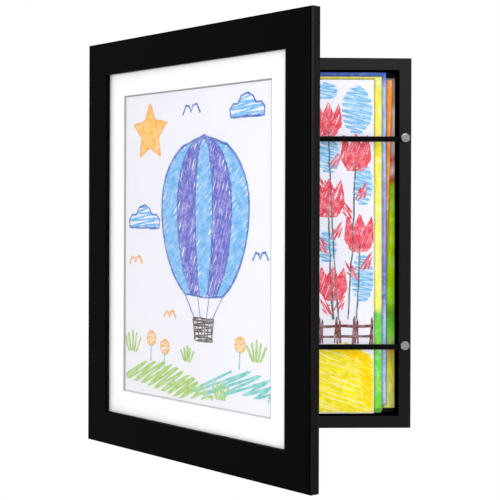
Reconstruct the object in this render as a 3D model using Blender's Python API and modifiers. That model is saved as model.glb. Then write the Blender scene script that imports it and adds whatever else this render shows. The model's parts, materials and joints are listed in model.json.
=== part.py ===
"""Children's art frame: a matted picture door, hinged on a shallow wall box that stores drawings.

Metres, +Z up. The front faces -Y, and the wall is the plane y = 0. The origin is the middle
notch of the upright hanger, where the nail in the wall carries the frame. The door stands part
open, as it does when a drawing is changed.
"""

import math

import bmesh
import bpy
from mathutils import Matrix

# The glazed size, the mat's borders, and how far the drawing on show reaches under the mat
GLAZED_WIDTH = 0.2540
GLAZED_HEIGHT = 0.3175
MAT_SIDE_BORDER = 0.02495
MAT_END_BORDER = 0.02435
PRINT_SIDE_LAP = 0.0059
PRINT_END_LAP = 0.0053

# Clearances
SEAT_GAP = 0.0002
SIDE_GAP = 0.0003
PACK_GAP = 0.00015
RUNNING_GAP = 0.00008
MITRE_GAP = 0.00015
CUT_OVERRUN = 0.0010
MERGE_DISTANCE = 0.00001

# Door rails: a flat face, a lip in front of the glazing and a rebate behind it
RAIL_FACE = 0.0300
RAIL_THICKNESS = 0.0096
LIP_THICKNESS = 0.0039
LIP_OVERLAP = 0.0021
RAIL_OUTER_ROUND = 0.0013
RAIL_SIGHT_ROUND = 0.0006
RAIL_BACK_ROUND = 0.0005

# Glazing pack
GLAZING_THICKNESS = 0.0012
MAT_THICKNESS = 0.0014
PRINT_THICKNESS = 0.0003
BACKING_THICKNESS = 0.0020
BACKING_CORNER = 0.0020

# Wall box
SIDE_ROOM = 0.0078
END_ROOM = 0.0067
WALL_THICKNESS = 0.0121
BOX_DEPTH = 0.0280
PANEL_THICKNESS = 0.0030
PANEL_INSET = 0.0020
GROOVE_DEPTH = 0.0047
BOX_OUTER_ROUND = 0.0010
BOX_INNER_ROUND = 0.0009
BOX_BACK_ROUND = 0.0005
WALL_STANDOFF = 0.0025

# Butt hinges
DOOR_OPEN_DEG = 51.8
LEAF_THICKNESS = 0.0007
LEAF_SPACE = 0.0003
LEAF_REACH = 0.0106
LEAF_HEIGHT = 0.0380
LEAF_CORNER = 0.0015
KNUCKLE_RADIUS = 0.0017
KNUCKLE_COUNT = 5
KNUCKLE_GAP = 0.0003
PIN_RADIUS = 0.00085
PIN_HEAD_RADIUS = 0.0014
PIN_HEAD_HEIGHT = 0.0006
HINGE_INSET = 0.0480

# Countersunk hinge screws
SCREW_HEAD_RADIUS = 0.0022
SCREW_SHANK_RADIUS = 0.0011
SCREW_LENGTH = 0.0070
SCREW_TIP_LENGTH = 0.0015
SCREW_SINK = 0.0001
SCREW_REACH = 0.0067
SCREW_END_INSET = 0.0075

# Turn buttons that hold the backing in its rebate
BUTTON_THICKNESS = 0.0010
BUTTON_HUB_RADIUS = 0.0033
BUTTON_TIP_REACH = 0.0138
BUTTON_TIP_HALF_WIDTH = 0.0025
BUTTON_TIP_ROUND = 0.0018
BUTTON_SETBACK = 0.0038
BUTTON_SPACING = 0.1200
PAN_HEAD_RADIUS = 0.0023
PAN_HEAD_HEIGHT = 0.0009
PAN_EDGE_HEIGHT = 0.0004

# Elastic bands and the studs that hold their ends
BAND_INSET = 0.0779
BAND_WIDTH = 0.0051
BAND_THICKNESS = 0.0007
EYELET_LAP = 0.0002
STUD_LIFT = 0.0013
STUD_HEAD_RADIUS = 0.00445
STUD_HEAD_THICKNESS = 0.0015
STUD_EDGE_ROUND = 0.0009
STUD_NECK_RADIUS = 0.0015
STUD_SHANK_DEPTH = 0.0090
POCKET_CLEARANCE = 0.0005
POCKET_FLOOR_GAP = 0.0003
MAGNET_THICKNESS = 0.0024
MAGNET_CHAMFER = 0.0003

# Stored drawings, in bundles from the front to the back panel, each slid and turned in the box
STACK_HEADROOM = 0.0060
STACK_SIDE_PLAY = 0.0234
STACK_END_PLAY = 0.0091
BUNDLE_SLIDE_SHARES = (0.004, 0.372, 0.577, 0.757, 0.99)
BUNDLE_LIFT_SHARES = (0.038, 0.471, 0.985, 0.985, 0.407)
BUNDLE_TURNS_DEG = (-0.16, -0.16, -0.17, 1.63, -0.12)

# Sawtooth hangers and their nails
HANGER_LENGTH = 0.0450
HANGER_HEIGHT = 0.0080
HANGER_SHEET = 0.0006
HANGER_TAB = 0.0080
HANGER_RISE = 0.0014
HANGER_RAMP = 0.0022
TOOTH_PITCH = 0.0020
TOOTH_DEPTH = 0.0012
TOOTH_COUNT = 11
NAIL_HEAD_RADIUS = 0.0016
NAIL_HEAD_THICKNESS = 0.0005
NAIL_SHANK_RADIUS = 0.0006
NAIL_LENGTH = 0.0090

# Bumpers that rest on the wall
BUMPER_RADIUS = 0.0045
BUMPER_ROUND = 0.0008

# Facets
ARC_STEPS = 4
ROUND_SIDES = 32
SMALL_SIDES = 16
SMOOTH_ANGLE = math.radians(35.0)

# Places and sizes that follow from the values above
WINDOW_WIDTH = GLAZED_WIDTH - 2 * MAT_SIDE_BORDER
WINDOW_HEIGHT = GLAZED_HEIGHT - 2 * MAT_END_BORDER
PRINT_WIDTH = WINDOW_WIDTH + 2 * PRINT_SIDE_LAP
PRINT_HEIGHT = WINDOW_HEIGHT + 2 * PRINT_END_LAP
DOOR_WIDTH = GLAZED_WIDTH + 2 * (RAIL_FACE - LIP_OVERLAP)
DOOR_HEIGHT = GLAZED_HEIGHT + 2 * (RAIL_FACE - LIP_OVERLAP)
REBATE_EDGE = RAIL_FACE - LIP_OVERLAP - SIDE_GAP
STORAGE_WIDTH = GLAZED_WIDTH + 2 * SIDE_ROOM
STORAGE_HEIGHT = GLAZED_HEIGHT + 2 * END_ROOM
BOX_WIDTH = STORAGE_WIDTH + 2 * WALL_THICKNESS
BOX_HEIGHT = STORAGE_HEIGHT + 2 * WALL_THICKNESS
STORED_WIDTH = STORAGE_WIDTH - 2 * SIDE_GAP - STACK_SIDE_PLAY
STORED_HEIGHT = STORAGE_HEIGHT - 2 * SIDE_GAP - STACK_END_PLAY
DOOR_GAP = 2 * (SEAT_GAP + LEAF_THICKNESS) + LEAF_SPACE
HOOK_TO_BOX_TOP = WALL_THICKNESS / 2 + HANGER_HEIGHT / 2 - TOOTH_DEPTH
CENTRE_Z = HOOK_TO_BOX_TOP - BOX_HEIGHT / 2
BOX_BACK_Y = -WALL_STANDOFF
RIM_Y = BOX_BACK_Y - BOX_DEPTH
PANEL_BACK_Y = BOX_BACK_Y - PANEL_INSET
PANEL_FRONT_Y = PANEL_BACK_Y - PANEL_THICKNESS
HINGE_X = -(BOX_WIDTH / 2 + SIDE_GAP + KNUCKLE_RADIUS)
HINGE_Y = RIM_Y - DOOR_GAP + SIDE_GAP + KNUCKLE_RADIUS
HINGE_OFFSETS = (BOX_HEIGHT / 2 - HINGE_INSET, HINGE_INSET - BOX_HEIGHT / 2)
BAND_OFFSETS = (BOX_HEIGHT / 2 - BAND_INSET, BAND_INSET - BOX_HEIGHT / 2)
STUD_OFFSETS = tuple(offset + STUD_LIFT for offset in BAND_OFFSETS)
STUD_X = BOX_WIDTH / 2 - WALL_THICKNESS / 2
STUD_PROUD = 2 * SEAT_GAP + BAND_THICKNESS + STUD_HEAD_THICKNESS
# The door is modelled closed, measured from its hinge axis, and then swung open by its parent
DOOR_BACK = RIM_Y - DOOR_GAP - HINGE_Y
DOOR_FRONT = DOOR_BACK - RAIL_THICKNESS
DOOR_HINGE_EDGE = -DOOR_WIDTH / 2 - HINGE_X
DOOR_FREE_EDGE = DOOR_WIDTH / 2 - HINGE_X
DOOR_MIDDLE = -HINGE_X
POCKET_RADIUS = STUD_HEAD_RADIUS + POCKET_CLEARANCE
POCKET_DEPTH = STUD_PROUD - DOOR_GAP + POCKET_FLOOR_GAP
LEVELS = ("upper", "lower")


def new_collection(name):
    """A collection linked to the scene."""
    made = bpy.data.collections.new(name)
    bpy.context.scene.collection.children.link(made)
    return made


def new_material(name, colour, roughness, metallic=0.0, alpha=1.0):
    """A Principled material of one finish."""
    made = bpy.data.materials.new(name)
    made.use_nodes = True
    shader = made.node_tree.nodes["Principled BSDF"]
    shader.inputs["Base Color"].default_value = (*colour, 1.0)
    shader.inputs["Roughness"].default_value = roughness
    shader.inputs["Metallic"].default_value = metallic
    shader.inputs["Alpha"].default_value = alpha
    return made


def new_empty(name, parent=None, place=(0, 0, 0), turn=(0, 0, 0)):
    """An empty that carries other objects."""
    made = bpy.data.objects.new(name, None)
    parts.objects.link(made)
    made.parent = parent
    made.location = place
    made.rotation_euler = turn
    return made


def placed(obj, parent=None, place=(0, 0, 0), turn=(0, 0, 0), finish=None):
    """Gives an object its parent, place, turn and material."""
    obj.parent = parent
    obj.location = place
    obj.rotation_euler = turn
    if finish:
        obj.data.materials.clear()
        obj.data.materials.append(finish)
    return obj


def mesh_object(name, mesh, home=None):
    """A new object round a mesh, in the parts collection unless another is given."""
    made = bpy.data.objects.new(name, mesh)
    (home or parts).objects.link(made)
    return made


def arc(centre, radius, start, end, steps=ARC_STEPS):
    """Points along an arc, both ends included, angles in radians."""
    points = []
    for i in range(steps + 1):
        angle = start + (end - start) * i / steps
        points.append((centre[0] + radius * math.cos(angle), centre[1] + radius * math.sin(angle)))
    return points


def filleted(corners):
    """An outline from (x, y, radius) corners: a corner with a radius becomes an arc."""
    points = []
    for i, (x, y, radius) in enumerate(corners):
        if not radius:
            points.append((x, y))
            continue
        before, after = corners[i - 1], corners[(i + 1) % len(corners)]
        start = math.atan2(before[1] - y, before[0] - x)
        end = math.atan2(after[1] - y, after[0] - x)
        opening = (end - start) % math.tau
        turn = 1 if opening > math.pi else -1
        half = min(opening, math.tau - opening) / 2
        middle = start - turn * half
        reach = radius / math.sin(half)
        centre = (x + reach * math.cos(middle), y + reach * math.sin(middle))
        first = start - turn * math.pi / 2 + math.pi
        sweep = math.pi - 2 * half
        points += arc(centre, radius, first, first + turn * sweep)
    return points


def circle(centre, radius, sides=SMALL_SIDES):
    """The corners of a regular polygon that stands for a circle."""
    return arc(centre, radius, 0, math.tau * (sides - 1) / sides, sides - 1)


def rectangle(width, height, radius=0):
    """A centred rectangle with rounded corners."""
    x, y = width / 2, height / 2
    return filleted([(x, -y, radius), (x, y, radius), (-x, y, radius), (-x, -y, radius)])


def plate(name, outlines, thickness):
    """A flat piece in the local XY plane, thickness along Z, as a filled curve. Later outlines are holes."""
    flat = bpy.data.curves.new(name, "CURVE")
    flat.dimensions = "2D"
    flat.fill_mode = "BOTH"
    flat.extrude = thickness / 2
    for points in outlines:
        spline = flat.splines.new("POLY")
        spline.points.add(len(points) - 1)
        for point, (x, y) in zip(spline.points, points):
            point.co = (x, y, 0, 1)
        spline.use_cyclic_u = True
    return mesh_object(name, flat)


def meshed(curve):
    """The curve's piece as a mesh object with its caps welded, so that it can be cut or joined."""
    bpy.context.view_layer.update()
    graph = bpy.context.evaluated_depsgraph_get()
    mesh = bpy.data.meshes.new_from_object(curve.evaluated_get(graph))
    welded = bmesh.new()
    welded.from_mesh(mesh)
    bmesh.ops.remove_doubles(welded, verts=welded.verts, dist=MERGE_DISTANCE)
    bmesh.ops.recalc_face_normals(welded, faces=welded.faces)
    welded.to_mesh(mesh)
    welded.free()
    name, matrix = curve.name, curve.matrix_world.copy()
    bpy.data.objects.remove(curve)
    made = mesh_object(name, mesh)
    made.matrix_world = matrix
    return made


def turned(name, profile, sides=ROUND_SIDES):
    """A turned piece about local Z. The profile's (radius, height) points run from top to bottom."""
    mesh = bpy.data.meshes.new(name)
    edges = [(i, i + 1) for i in range(len(profile) - 1)]
    mesh.from_pydata([(radius, 0, height) for radius, height in profile], edges, [])
    made = mesh_object(name, mesh)
    screw = made.modifiers.new("turning", "SCREW")
    screw.steps = screw.render_steps = sides
    screw.use_merge_vertices = True
    screw.merge_threshold = MERGE_DISTANCE
    screw.use_smooth_shade = True
    bpy.context.view_layer.update()
    graph = bpy.context.evaluated_depsgraph_get()
    solid = bpy.data.meshes.new_from_object(made.evaluated_get(graph))
    made.modifiers.remove(screw)
    made.data = solid
    solid.shade_smooth()
    solid.set_sharp_from_angle(angle=SMOOTH_ANGLE)
    bpy.data.meshes.remove(mesh)
    return made


def cylinder_mesh(name, radius, length, end_radius=None, sides=SMALL_SIDES):
    """A closed cylinder or cone about local Z, centred on the origin."""
    mesh = bpy.data.meshes.new(name)
    solid = bmesh.new()
    bmesh.ops.create_cone(
        solid,
        cap_ends=True,
        segments=sides,
        radius1=radius,
        radius2=radius if end_radius is None else end_radius,
        depth=length,
    )
    solid.to_mesh(mesh)
    solid.free()
    return mesh


def helper(name, mesh, parent, place, turn):
    """A shape that only cuts or joins another piece."""
    made = mesh_object(name, mesh, cutters)
    made.hide_render = True
    made.display_type = "WIRE"
    return placed(made, parent, place, turn)


def combine(target, other, operation="DIFFERENCE"):
    """An exact Boolean of the target with a helper."""
    step = target.modifiers.new(other.name, "BOOLEAN")
    step.operation = operation
    step.solver = "EXACT"
    step.object = other


def bore(target, parent, mouth, outward, radius, depth, end_radius=None, sides=SMALL_SIDES):
    """Cuts a round hole of a depth from its mouth. Outward is +1 for a mouth that faces +Y, -1 for -Y."""
    length = depth + CUT_OVERRUN
    widening = 0 if end_radius is None else (radius - end_radius) / depth * CUT_OVERRUN
    mesh = cylinder_mesh(f"{target.name}_bore", end_radius or radius, length, radius + widening, sides)
    middle_y = mouth[1] + outward * (CUT_OVERRUN - depth) / 2
    turn = (-outward * math.pi / 2, 0, 0)
    place = (mouth[0], middle_y, mouth[2])
    combine(target, helper(f"{target.name}_bore", mesh, parent, place, turn))


def mitred_bar(name, profile, half_length, parent, place, side, finish):
    """A moulding with both ends cut at 45 degrees.

    The profile's x runs inwards from the outer edge and its y backwards from the front. The bar
    lies along local Z, and side turns it round the frame: 0 hinge side, 1 top, 2 free side, 3 bottom.
    """
    bar = meshed(plate(name, [profile], 2 * half_length))
    for vertex in bar.data.vertices:
        reach = half_length - vertex.co.x - MITRE_GAP / 2
        vertex.co.z = math.copysign(reach, vertex.co.z)
    bar.data.shade_smooth()
    bar.data.set_sharp_from_angle(angle=SMOOTH_ANGLE)
    return placed(bar, parent, place, (0, side * math.pi / 2, 0), finish)


def rail_profile():
    """The door moulding's section: flat face, eased arrises, lip and rebate."""
    return filleted(
        [
            (0, 0, RAIL_OUTER_ROUND),
            (RAIL_FACE, 0, RAIL_SIGHT_ROUND),
            (RAIL_FACE, LIP_THICKNESS, 0),
            (REBATE_EDGE, LIP_THICKNESS, 0),
            (REBATE_EDGE, RAIL_THICKNESS, 0),
            (0, RAIL_THICKNESS, RAIL_BACK_ROUND),
        ]
    )


def wall_profile():
    """The box wall's section: a flat rim, and near the back a groove that holds the panel."""
    groove_front = PANEL_FRONT_Y - SEAT_GAP - RIM_Y
    groove_back = PANEL_BACK_Y + SEAT_GAP - RIM_Y
    floor = WALL_THICKNESS - GROOVE_DEPTH
    return filleted(
        [
            (0, 0, BOX_OUTER_ROUND),
            (WALL_THICKNESS, 0, BOX_INNER_ROUND),
            (WALL_THICKNESS, groove_front, 0),
            (floor, groove_front, 0),
            (floor, groove_back, 0),
            (WALL_THICKNESS, groove_back, 0),
            (WALL_THICKNESS, BOX_DEPTH, 0),
            (0, BOX_DEPTH, BOX_BACK_ROUND),
        ]
    )


def make_door_rails():
    """The four mitred rails of the door, round its middle."""
    profile = rail_profile()
    half_width, half_height = DOOR_WIDTH / 2, DOOR_HEIGHT / 2
    hinge_stile = mitred_bar(
        "door_stile_hinge", profile, half_height, door, (DOOR_HINGE_EDGE, DOOR_FRONT, 0), 0, door_black
    )
    mitred_bar(
        "door_rail_top", profile, half_width, door, (DOOR_MIDDLE, DOOR_FRONT, half_height), 1, door_black
    )
    free_stile = mitred_bar(
        "door_stile_free", profile, half_height, door, (DOOR_FREE_EDGE, DOOR_FRONT, 0), 2, door_black
    )
    mitred_bar(
        "door_rail_bottom", profile, half_width, door, (DOOR_MIDDLE, DOOR_FRONT, -half_height), 3, door_black
    )
    return hinge_stile, free_stile


def make_glazing_pack():
    """Glazing, mat, drawing and backing, one behind another in the rebate."""
    pack = (
        ("glazing", GLAZED_WIDTH, GLAZED_HEIGHT, GLAZING_THICKNESS, clear_sheet, 0),
        ("mat", GLAZED_WIDTH, GLAZED_HEIGHT, MAT_THICKNESS, mat_white, 0),
        ("display_drawing", PRINT_WIDTH, PRINT_HEIGHT, PRINT_THICKNESS, paper_white, 0),
        ("backing_board", GLAZED_WIDTH, GLAZED_HEIGHT, BACKING_THICKNESS, board_brown, BACKING_CORNER),
    )
    front = DOOR_FRONT + LIP_THICKNESS
    for name, width, height, thickness, finish, corner in pack:
        front += PACK_GAP
        outlines = [rectangle(width, height, corner)]
        if name == "mat":
            outlines.append(rectangle(WINDOW_WIDTH, WINDOW_HEIGHT))
        sheet = plate(name, outlines, thickness)
        if name == "mat":
            sheet = meshed(sheet)
            bevel_window(sheet.data)
        middle = (DOOR_MIDDLE, front + thickness / 2, 0)
        placed(sheet, door, middle, (math.pi / 2, 0, 0), finish)
        front += thickness


def bevel_window(mesh):
    """Slopes the mat's window edge at 45 degrees, so that it opens towards the front face."""
    for vertex in mesh.vertices:
        x, y, z = vertex.co
        if z > 0 and abs(x) < (GLAZED_WIDTH - MAT_SIDE_BORDER) / 2:
            vertex.co.x += math.copysign(MAT_THICKNESS, x)
            vertex.co.y += math.copysign(MAT_THICKNESS, y)


def leaf_breaks(own_parity):
    """The heights between a leaf's knuckles and its gaps: (low, high, own) from the bottom up."""
    step = LEAF_HEIGHT / KNUCKLE_COUNT
    bands = []
    low = -LEAF_HEIGHT / 2
    for i in range(KNUCKLE_COUNT):
        own = i % 2 == own_parity
        high = (i + 1) * step - LEAF_HEIGHT / 2
        if i < KNUCKLE_COUNT - 1:
            high += -KNUCKLE_GAP / 2 if own else KNUCKLE_GAP / 2
        else:
            high = LEAF_HEIGHT / 2
        bands.append((low, high, own))
        low = high
    return bands


def leaf_screw_heights():
    """The two screws' heights on a leaf, from its middle."""
    height = LEAF_HEIGHT / 2 - SCREW_END_INSET
    return (height, -height)


def make_leaf(name, own_parity, parent, axis_place, leaf_y, outward):
    """One leaf of a butt hinge with its knuckles. Outward is the way that its screw heads face in Y."""
    bands = leaf_breaks(own_parity)
    clear = KNUCKLE_RADIUS + SIDE_GAP
    corners = []
    for low, high, own in reversed(bands):
        x = 0 if own else clear
        corners += [(x, high, 0), (x, low, 0)]
    corners += [(LEAF_REACH, -LEAF_HEIGHT / 2, LEAF_CORNER), (LEAF_REACH, LEAF_HEIGHT / 2, LEAF_CORNER)]
    leaf = meshed(plate(name, [filleted(corners)], LEAF_THICKNESS))
    x, y, z = axis_place
    placed(leaf, parent, (x, leaf_y, z), (math.pi / 2, 0, 0), hinge_steel)
    for low, high, own in bands:
        if own:
            tube = cylinder_mesh(f"{name}_knuckle", KNUCKLE_RADIUS, high - low)
            combine(leaf, helper(f"{name}_knuckle", tube, parent, (x, y, z + (low + high) / 2), (0, 0, 0)), "UNION")
    length = LEAF_HEIGHT + 2 * CUT_OVERRUN
    channel = cylinder_mesh(f"{name}_pin_bore", PIN_RADIUS + RUNNING_GAP, length)
    combine(leaf, helper(f"{name}_pin_bore", channel, parent, axis_place, (0, 0, 0)))
    for offset in leaf_screw_heights():
        mouth = (x + SCREW_REACH, leaf_y + outward * LEAF_THICKNESS / 2, z + offset)
        wide = SCREW_HEAD_RADIUS + SEAT_GAP
        depth = LEAF_THICKNESS + SEAT_GAP / 2
        bore(leaf, parent, mouth, outward, wide, depth, wide - depth)
    return leaf


def countersunk_screw(name, parent, place, outward):
    """A flat-headed screw whose top lies at place and faces outward along Y."""
    cone = SCREW_HEAD_RADIUS - SCREW_SHANK_RADIUS
    profile = [
        (0, 0),
        (SCREW_HEAD_RADIUS, 0),
        (SCREW_SHANK_RADIUS, -cone),
        (SCREW_SHANK_RADIUS, SCREW_TIP_LENGTH - SCREW_LENGTH),
        (0, -SCREW_LENGTH),
    ]
    screw = turned(name, profile, SMALL_SIDES)
    return placed(screw, parent, place, (-outward * math.pi / 2, 0, 0), screw_steel)


def make_hinges(hinge_wall, hinge_stile):
    """Two butt hinges: a leaf on the box's rim, a leaf on the door's back, and a pin each."""
    box_leaf_y = RIM_Y - SEAT_GAP - LEAF_THICKNESS / 2
    door_leaf_y = DOOR_BACK + SEAT_GAP + LEAF_THICKNESS / 2
    hole = SCREW_SHANK_RADIUS + SIDE_GAP
    for level, offset in zip(LEVELS, HINGE_OFFSETS):
        fixed_axis = (HINGE_X, HINGE_Y, CENTRE_Z + offset)
        moving_axis = (0, 0, offset)
        make_leaf(f"hinge_leaf_box_{level}", 0, None, fixed_axis, box_leaf_y, -1)
        make_leaf(f"hinge_leaf_door_{level}", 1, door, moving_axis, door_leaf_y, 1)
        half = LEAF_HEIGHT / 2 + SEAT_GAP
        profile = [
            (0, half + PIN_HEAD_HEIGHT),
            (PIN_HEAD_RADIUS / 2, half + PIN_HEAD_HEIGHT),
            (PIN_HEAD_RADIUS, half + PIN_HEAD_HEIGHT / 2),
            (PIN_HEAD_RADIUS, half),
            (PIN_RADIUS, half),
            (PIN_RADIUS, -half),
            (0, -half),
        ]
        placed(turned(f"hinge_pin_{level}", profile, SMALL_SIDES), None, fixed_axis, (0, 0, 0), hinge_steel)
        for end, rise in zip(LEVELS, leaf_screw_heights()):
            box_x = HINGE_X + SCREW_REACH
            box_z = CENTRE_Z + offset + rise
            head_y = box_leaf_y - LEAF_THICKNESS / 2 + SCREW_SINK
            countersunk_screw(f"hinge_screw_box_{level}_{end}", None, (box_x, head_y, box_z), -1)
            bore(hinge_wall, None, (box_x, RIM_Y, box_z), -1, hole, SCREW_LENGTH)
            head_y = door_leaf_y + LEAF_THICKNESS / 2 - SCREW_SINK
            countersunk_screw(f"hinge_screw_door_{level}_{end}", door, (SCREW_REACH, head_y, offset + rise), 1)
            bore(hinge_stile, door, (SCREW_REACH, DOOR_BACK, offset + rise), 1, hole, SCREW_LENGTH)


def button_outline():
    """A stamped bar with a round hub and a narrower tip, its pivot at the origin."""
    lean = math.atan2(BUTTON_HUB_RADIUS - BUTTON_TIP_HALF_WIDTH, BUTTON_TIP_REACH)
    start = math.pi / 2 - lean
    hub = arc((0, 0), BUTTON_HUB_RADIUS, start, math.tau - start, 4 * ARC_STEPS)
    tip = BUTTON_TIP_REACH - BUTTON_TIP_ROUND
    flat = BUTTON_TIP_HALF_WIDTH - BUTTON_TIP_ROUND
    lower = arc((tip, -flat), BUTTON_TIP_ROUND, -math.pi / 2, 0)
    upper = arc((tip, flat), BUTTON_TIP_ROUND, 0, math.pi / 2)
    return hub + lower + upper


def make_turn_buttons(hinge_stile, free_stile):
    """Four turn buttons over the backing board's long edges, each on a round-headed screw."""
    plate_y = DOOR_BACK + SEAT_GAP + BUTTON_THICKNESS / 2
    seat = plate_y + BUTTON_THICKNESS / 2 + SEAT_GAP
    inset = REBATE_EDGE - BUTTON_SETBACK
    columns = (
        ("hinge", DOOR_HINGE_EDGE + inset, 0, hinge_stile),
        ("free", DOOR_FREE_EDGE - inset, math.pi, free_stile),
    )
    profile = [
        (0, PAN_HEAD_HEIGHT),
        (PAN_HEAD_RADIUS / 2, PAN_HEAD_HEIGHT),
        (PAN_HEAD_RADIUS, PAN_EDGE_HEIGHT),
        (PAN_HEAD_RADIUS, 0),
        (SCREW_SHANK_RADIUS, 0),
        (SCREW_SHANK_RADIUS, SCREW_TIP_LENGTH - SCREW_LENGTH),
        (0, -SCREW_LENGTH),
    ]
    for side, x, way, stile in columns:
        for level, z in zip(LEVELS, (BUTTON_SPACING / 2, -BUTTON_SPACING / 2)):
            holes = [button_outline(), circle((0, 0), SCREW_SHANK_RADIUS + RUNNING_GAP)]
            button = plate(f"turn_button_{side}_{level}", holes, BUTTON_THICKNESS)
            placed(button, door, (x, plate_y, z), (math.pi / 2, way, 0), button_steel)
            screw = turned(f"turn_button_screw_{side}_{level}", profile, SMALL_SIDES)
            placed(screw, door, (x, seat, z), (-math.pi / 2, 0, 0), screw_steel)
            hole = SCREW_SHANK_RADIUS + SIDE_GAP
            bore(stile, door, (x, DOOR_BACK, z), 1, hole, SCREW_LENGTH - BUTTON_THICKNESS)


def make_box():
    """Four grooved and mitred walls, and the panel that they hold."""
    profile = wall_profile()
    half_width, half_height = BOX_WIDTH / 2, BOX_HEIGHT / 2
    walls = {}
    for side, name in enumerate(("hinge", "top", "free", "bottom")):
        upright = side % 2 == 0
        outer = half_width if upright else half_height
        half_length = half_height if upright else half_width
        away = math.pi - side * math.pi / 2
        place = (outer * math.cos(away), RIM_Y, CENTRE_Z + outer * math.sin(away))
        walls[name] = mitred_bar(f"box_wall_{name}", profile, half_length, None, place, side, box_black)
    width = STORAGE_WIDTH + 2 * (GROOVE_DEPTH - SEAT_GAP)
    height = STORAGE_HEIGHT + 2 * (GROOVE_DEPTH - SEAT_GAP)
    panel = plate("back_panel", [rectangle(width, height)], PANEL_THICKNESS)
    middle = (0, (PANEL_BACK_Y + PANEL_FRONT_Y) / 2, CENTRE_Z)
    placed(panel, None, middle, (math.pi / 2, 0, 0), panel_black)
    return walls


def make_studs(walls):
    """Four studs in the rim, which the bands' eyelets go round."""
    flat = STUD_HEAD_RADIUS - STUD_EDGE_ROUND
    top = STUD_PROUD
    foot = top - STUD_HEAD_THICKNESS
    rim = arc((flat, top - STUD_EDGE_ROUND), STUD_EDGE_ROUND, math.pi / 2, 0)
    profile = [(0, top), *rim, (STUD_HEAD_RADIUS, foot), (STUD_NECK_RADIUS, foot)]
    profile += [(STUD_NECK_RADIUS, -STUD_SHANK_DEPTH), (0, -STUD_SHANK_DEPTH)]
    for side, x in (("hinge", -STUD_X), ("free", STUD_X)):
        for level, offset in zip(LEVELS, STUD_OFFSETS):
            place = (x, RIM_Y, CENTRE_Z + offset)
            stud = turned(f"band_stud_{side}_{level}", profile)
            placed(stud, None, place, (math.pi / 2, 0, 0), stud_steel)
            depth = STUD_SHANK_DEPTH + SIDE_GAP
            bore(walls[side], None, place, -1, STUD_NECK_RADIUS + SEAT_GAP, depth)


def make_bands():
    """Two flat elastic bands across the box, an eyelet at each end, hung a little below their studs."""
    half_width = BAND_WIDTH / 2
    radius = half_width + STUD_LIFT + EYELET_LAP
    low = math.asin((half_width + STUD_LIFT) / radius)
    high = math.asin((half_width - STUD_LIFT) / radius)
    right = arc((STUD_X, STUD_LIFT), radius, low - math.pi, math.pi - high, 4 * ARC_STEPS)
    left = arc((-STUD_X, STUD_LIFT), radius, high, math.tau - low, 4 * ARC_STEPS)
    hole = STUD_NECK_RADIUS + SIDE_GAP
    outlines = [right + left, circle((STUD_X, STUD_LIFT), hole), circle((-STUD_X, STUD_LIFT), hole)]
    y = RIM_Y - SEAT_GAP - BAND_THICKNESS / 2
    for level, offset in zip(LEVELS, BAND_OFFSETS):
        band = plate(f"elastic_band_{level}", outlines, BAND_THICKNESS)
        placed(band, None, (0, y, CENTRE_Z + offset), (math.pi / 2, 0, 0), band_black)


def make_catch(hinge_stile, free_stile):
    """Pockets for the stud heads in the door's back, with a magnet in each on the free side."""
    for side, stile, x in (("hinge", hinge_stile, -STUD_X), ("free", free_stile, STUD_X)):
        for level, offset in zip(LEVELS, STUD_OFFSETS):
            mouth = (x - HINGE_X, DOOR_BACK, offset)
            depth = POCKET_DEPTH
            if side == "free":
                depth += MAGNET_THICKNESS + SEAT_GAP
                radius = POCKET_RADIUS - SIDE_GAP
                low, high = -MAGNET_THICKNESS / 2, MAGNET_THICKNESS / 2
                profile = [(0, high), (radius - MAGNET_CHAMFER, high), (radius, high - MAGNET_CHAMFER)]
                profile += [(radius, low + MAGNET_CHAMFER), (radius - MAGNET_CHAMFER, low), (0, low)]
                magnet = turned(f"catch_magnet_{level}", profile)
                magnet_y = DOOR_BACK - POCKET_DEPTH - MAGNET_THICKNESS / 2
                placed(magnet, door, (mouth[0], magnet_y, offset), (-math.pi / 2, 0, 0), magnet_nickel)
            bore(stile, door, mouth, 1, POCKET_RADIUS, depth, sides=ROUND_SIDES)


def make_stack():
    """The stored drawings: bundles of sheets that lie one on another in front of the panel."""
    count = len(BUNDLE_SLIDE_SHARES)
    front = RIM_Y + STACK_HEADROOM
    pitch = (PANEL_FRONT_Y - front) / count
    thickness = pitch - SIDE_GAP
    places = zip(BUNDLE_SLIDE_SHARES, BUNDLE_LIFT_SHARES, BUNDLE_TURNS_DEG)
    for i, (across, up, degrees) in enumerate(places):
        turn = math.radians(degrees)
        lean = abs(math.sin(turn))
        span = STORED_WIDTH * math.cos(turn) + STORED_HEIGHT * lean
        rise = STORED_HEIGHT * math.cos(turn) + STORED_WIDTH * lean
        bundle = plate(f"drawing_bundle_{i + 1}", [rectangle(STORED_WIDTH, STORED_HEIGHT)], thickness)
        x = (across - 1 / 2) * (STORAGE_WIDTH - 2 * SIDE_GAP - span)
        z = CENTRE_Z + (up - 1 / 2) * (STORAGE_HEIGHT - 2 * SIDE_GAP - rise)
        y = front + i * pitch + thickness / 2
        placed(bundle, None, (x, y, z), (math.pi / 2, turn, 0), stack_papers[i])


def hanger_section():
    """The bent strip's section: flat tabs at both ends and a middle raised towards the wall."""
    half = HANGER_LENGTH / 2
    knee = half - HANGER_TAB
    crest = knee - HANGER_RAMP
    near = [(-half, 0), (-knee, 0), (-crest, HANGER_RISE), (crest, HANGER_RISE), (knee, 0), (half, 0)]
    far = [(x, y + HANGER_SHEET) for x, y in reversed(near)]
    return near + far


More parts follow.
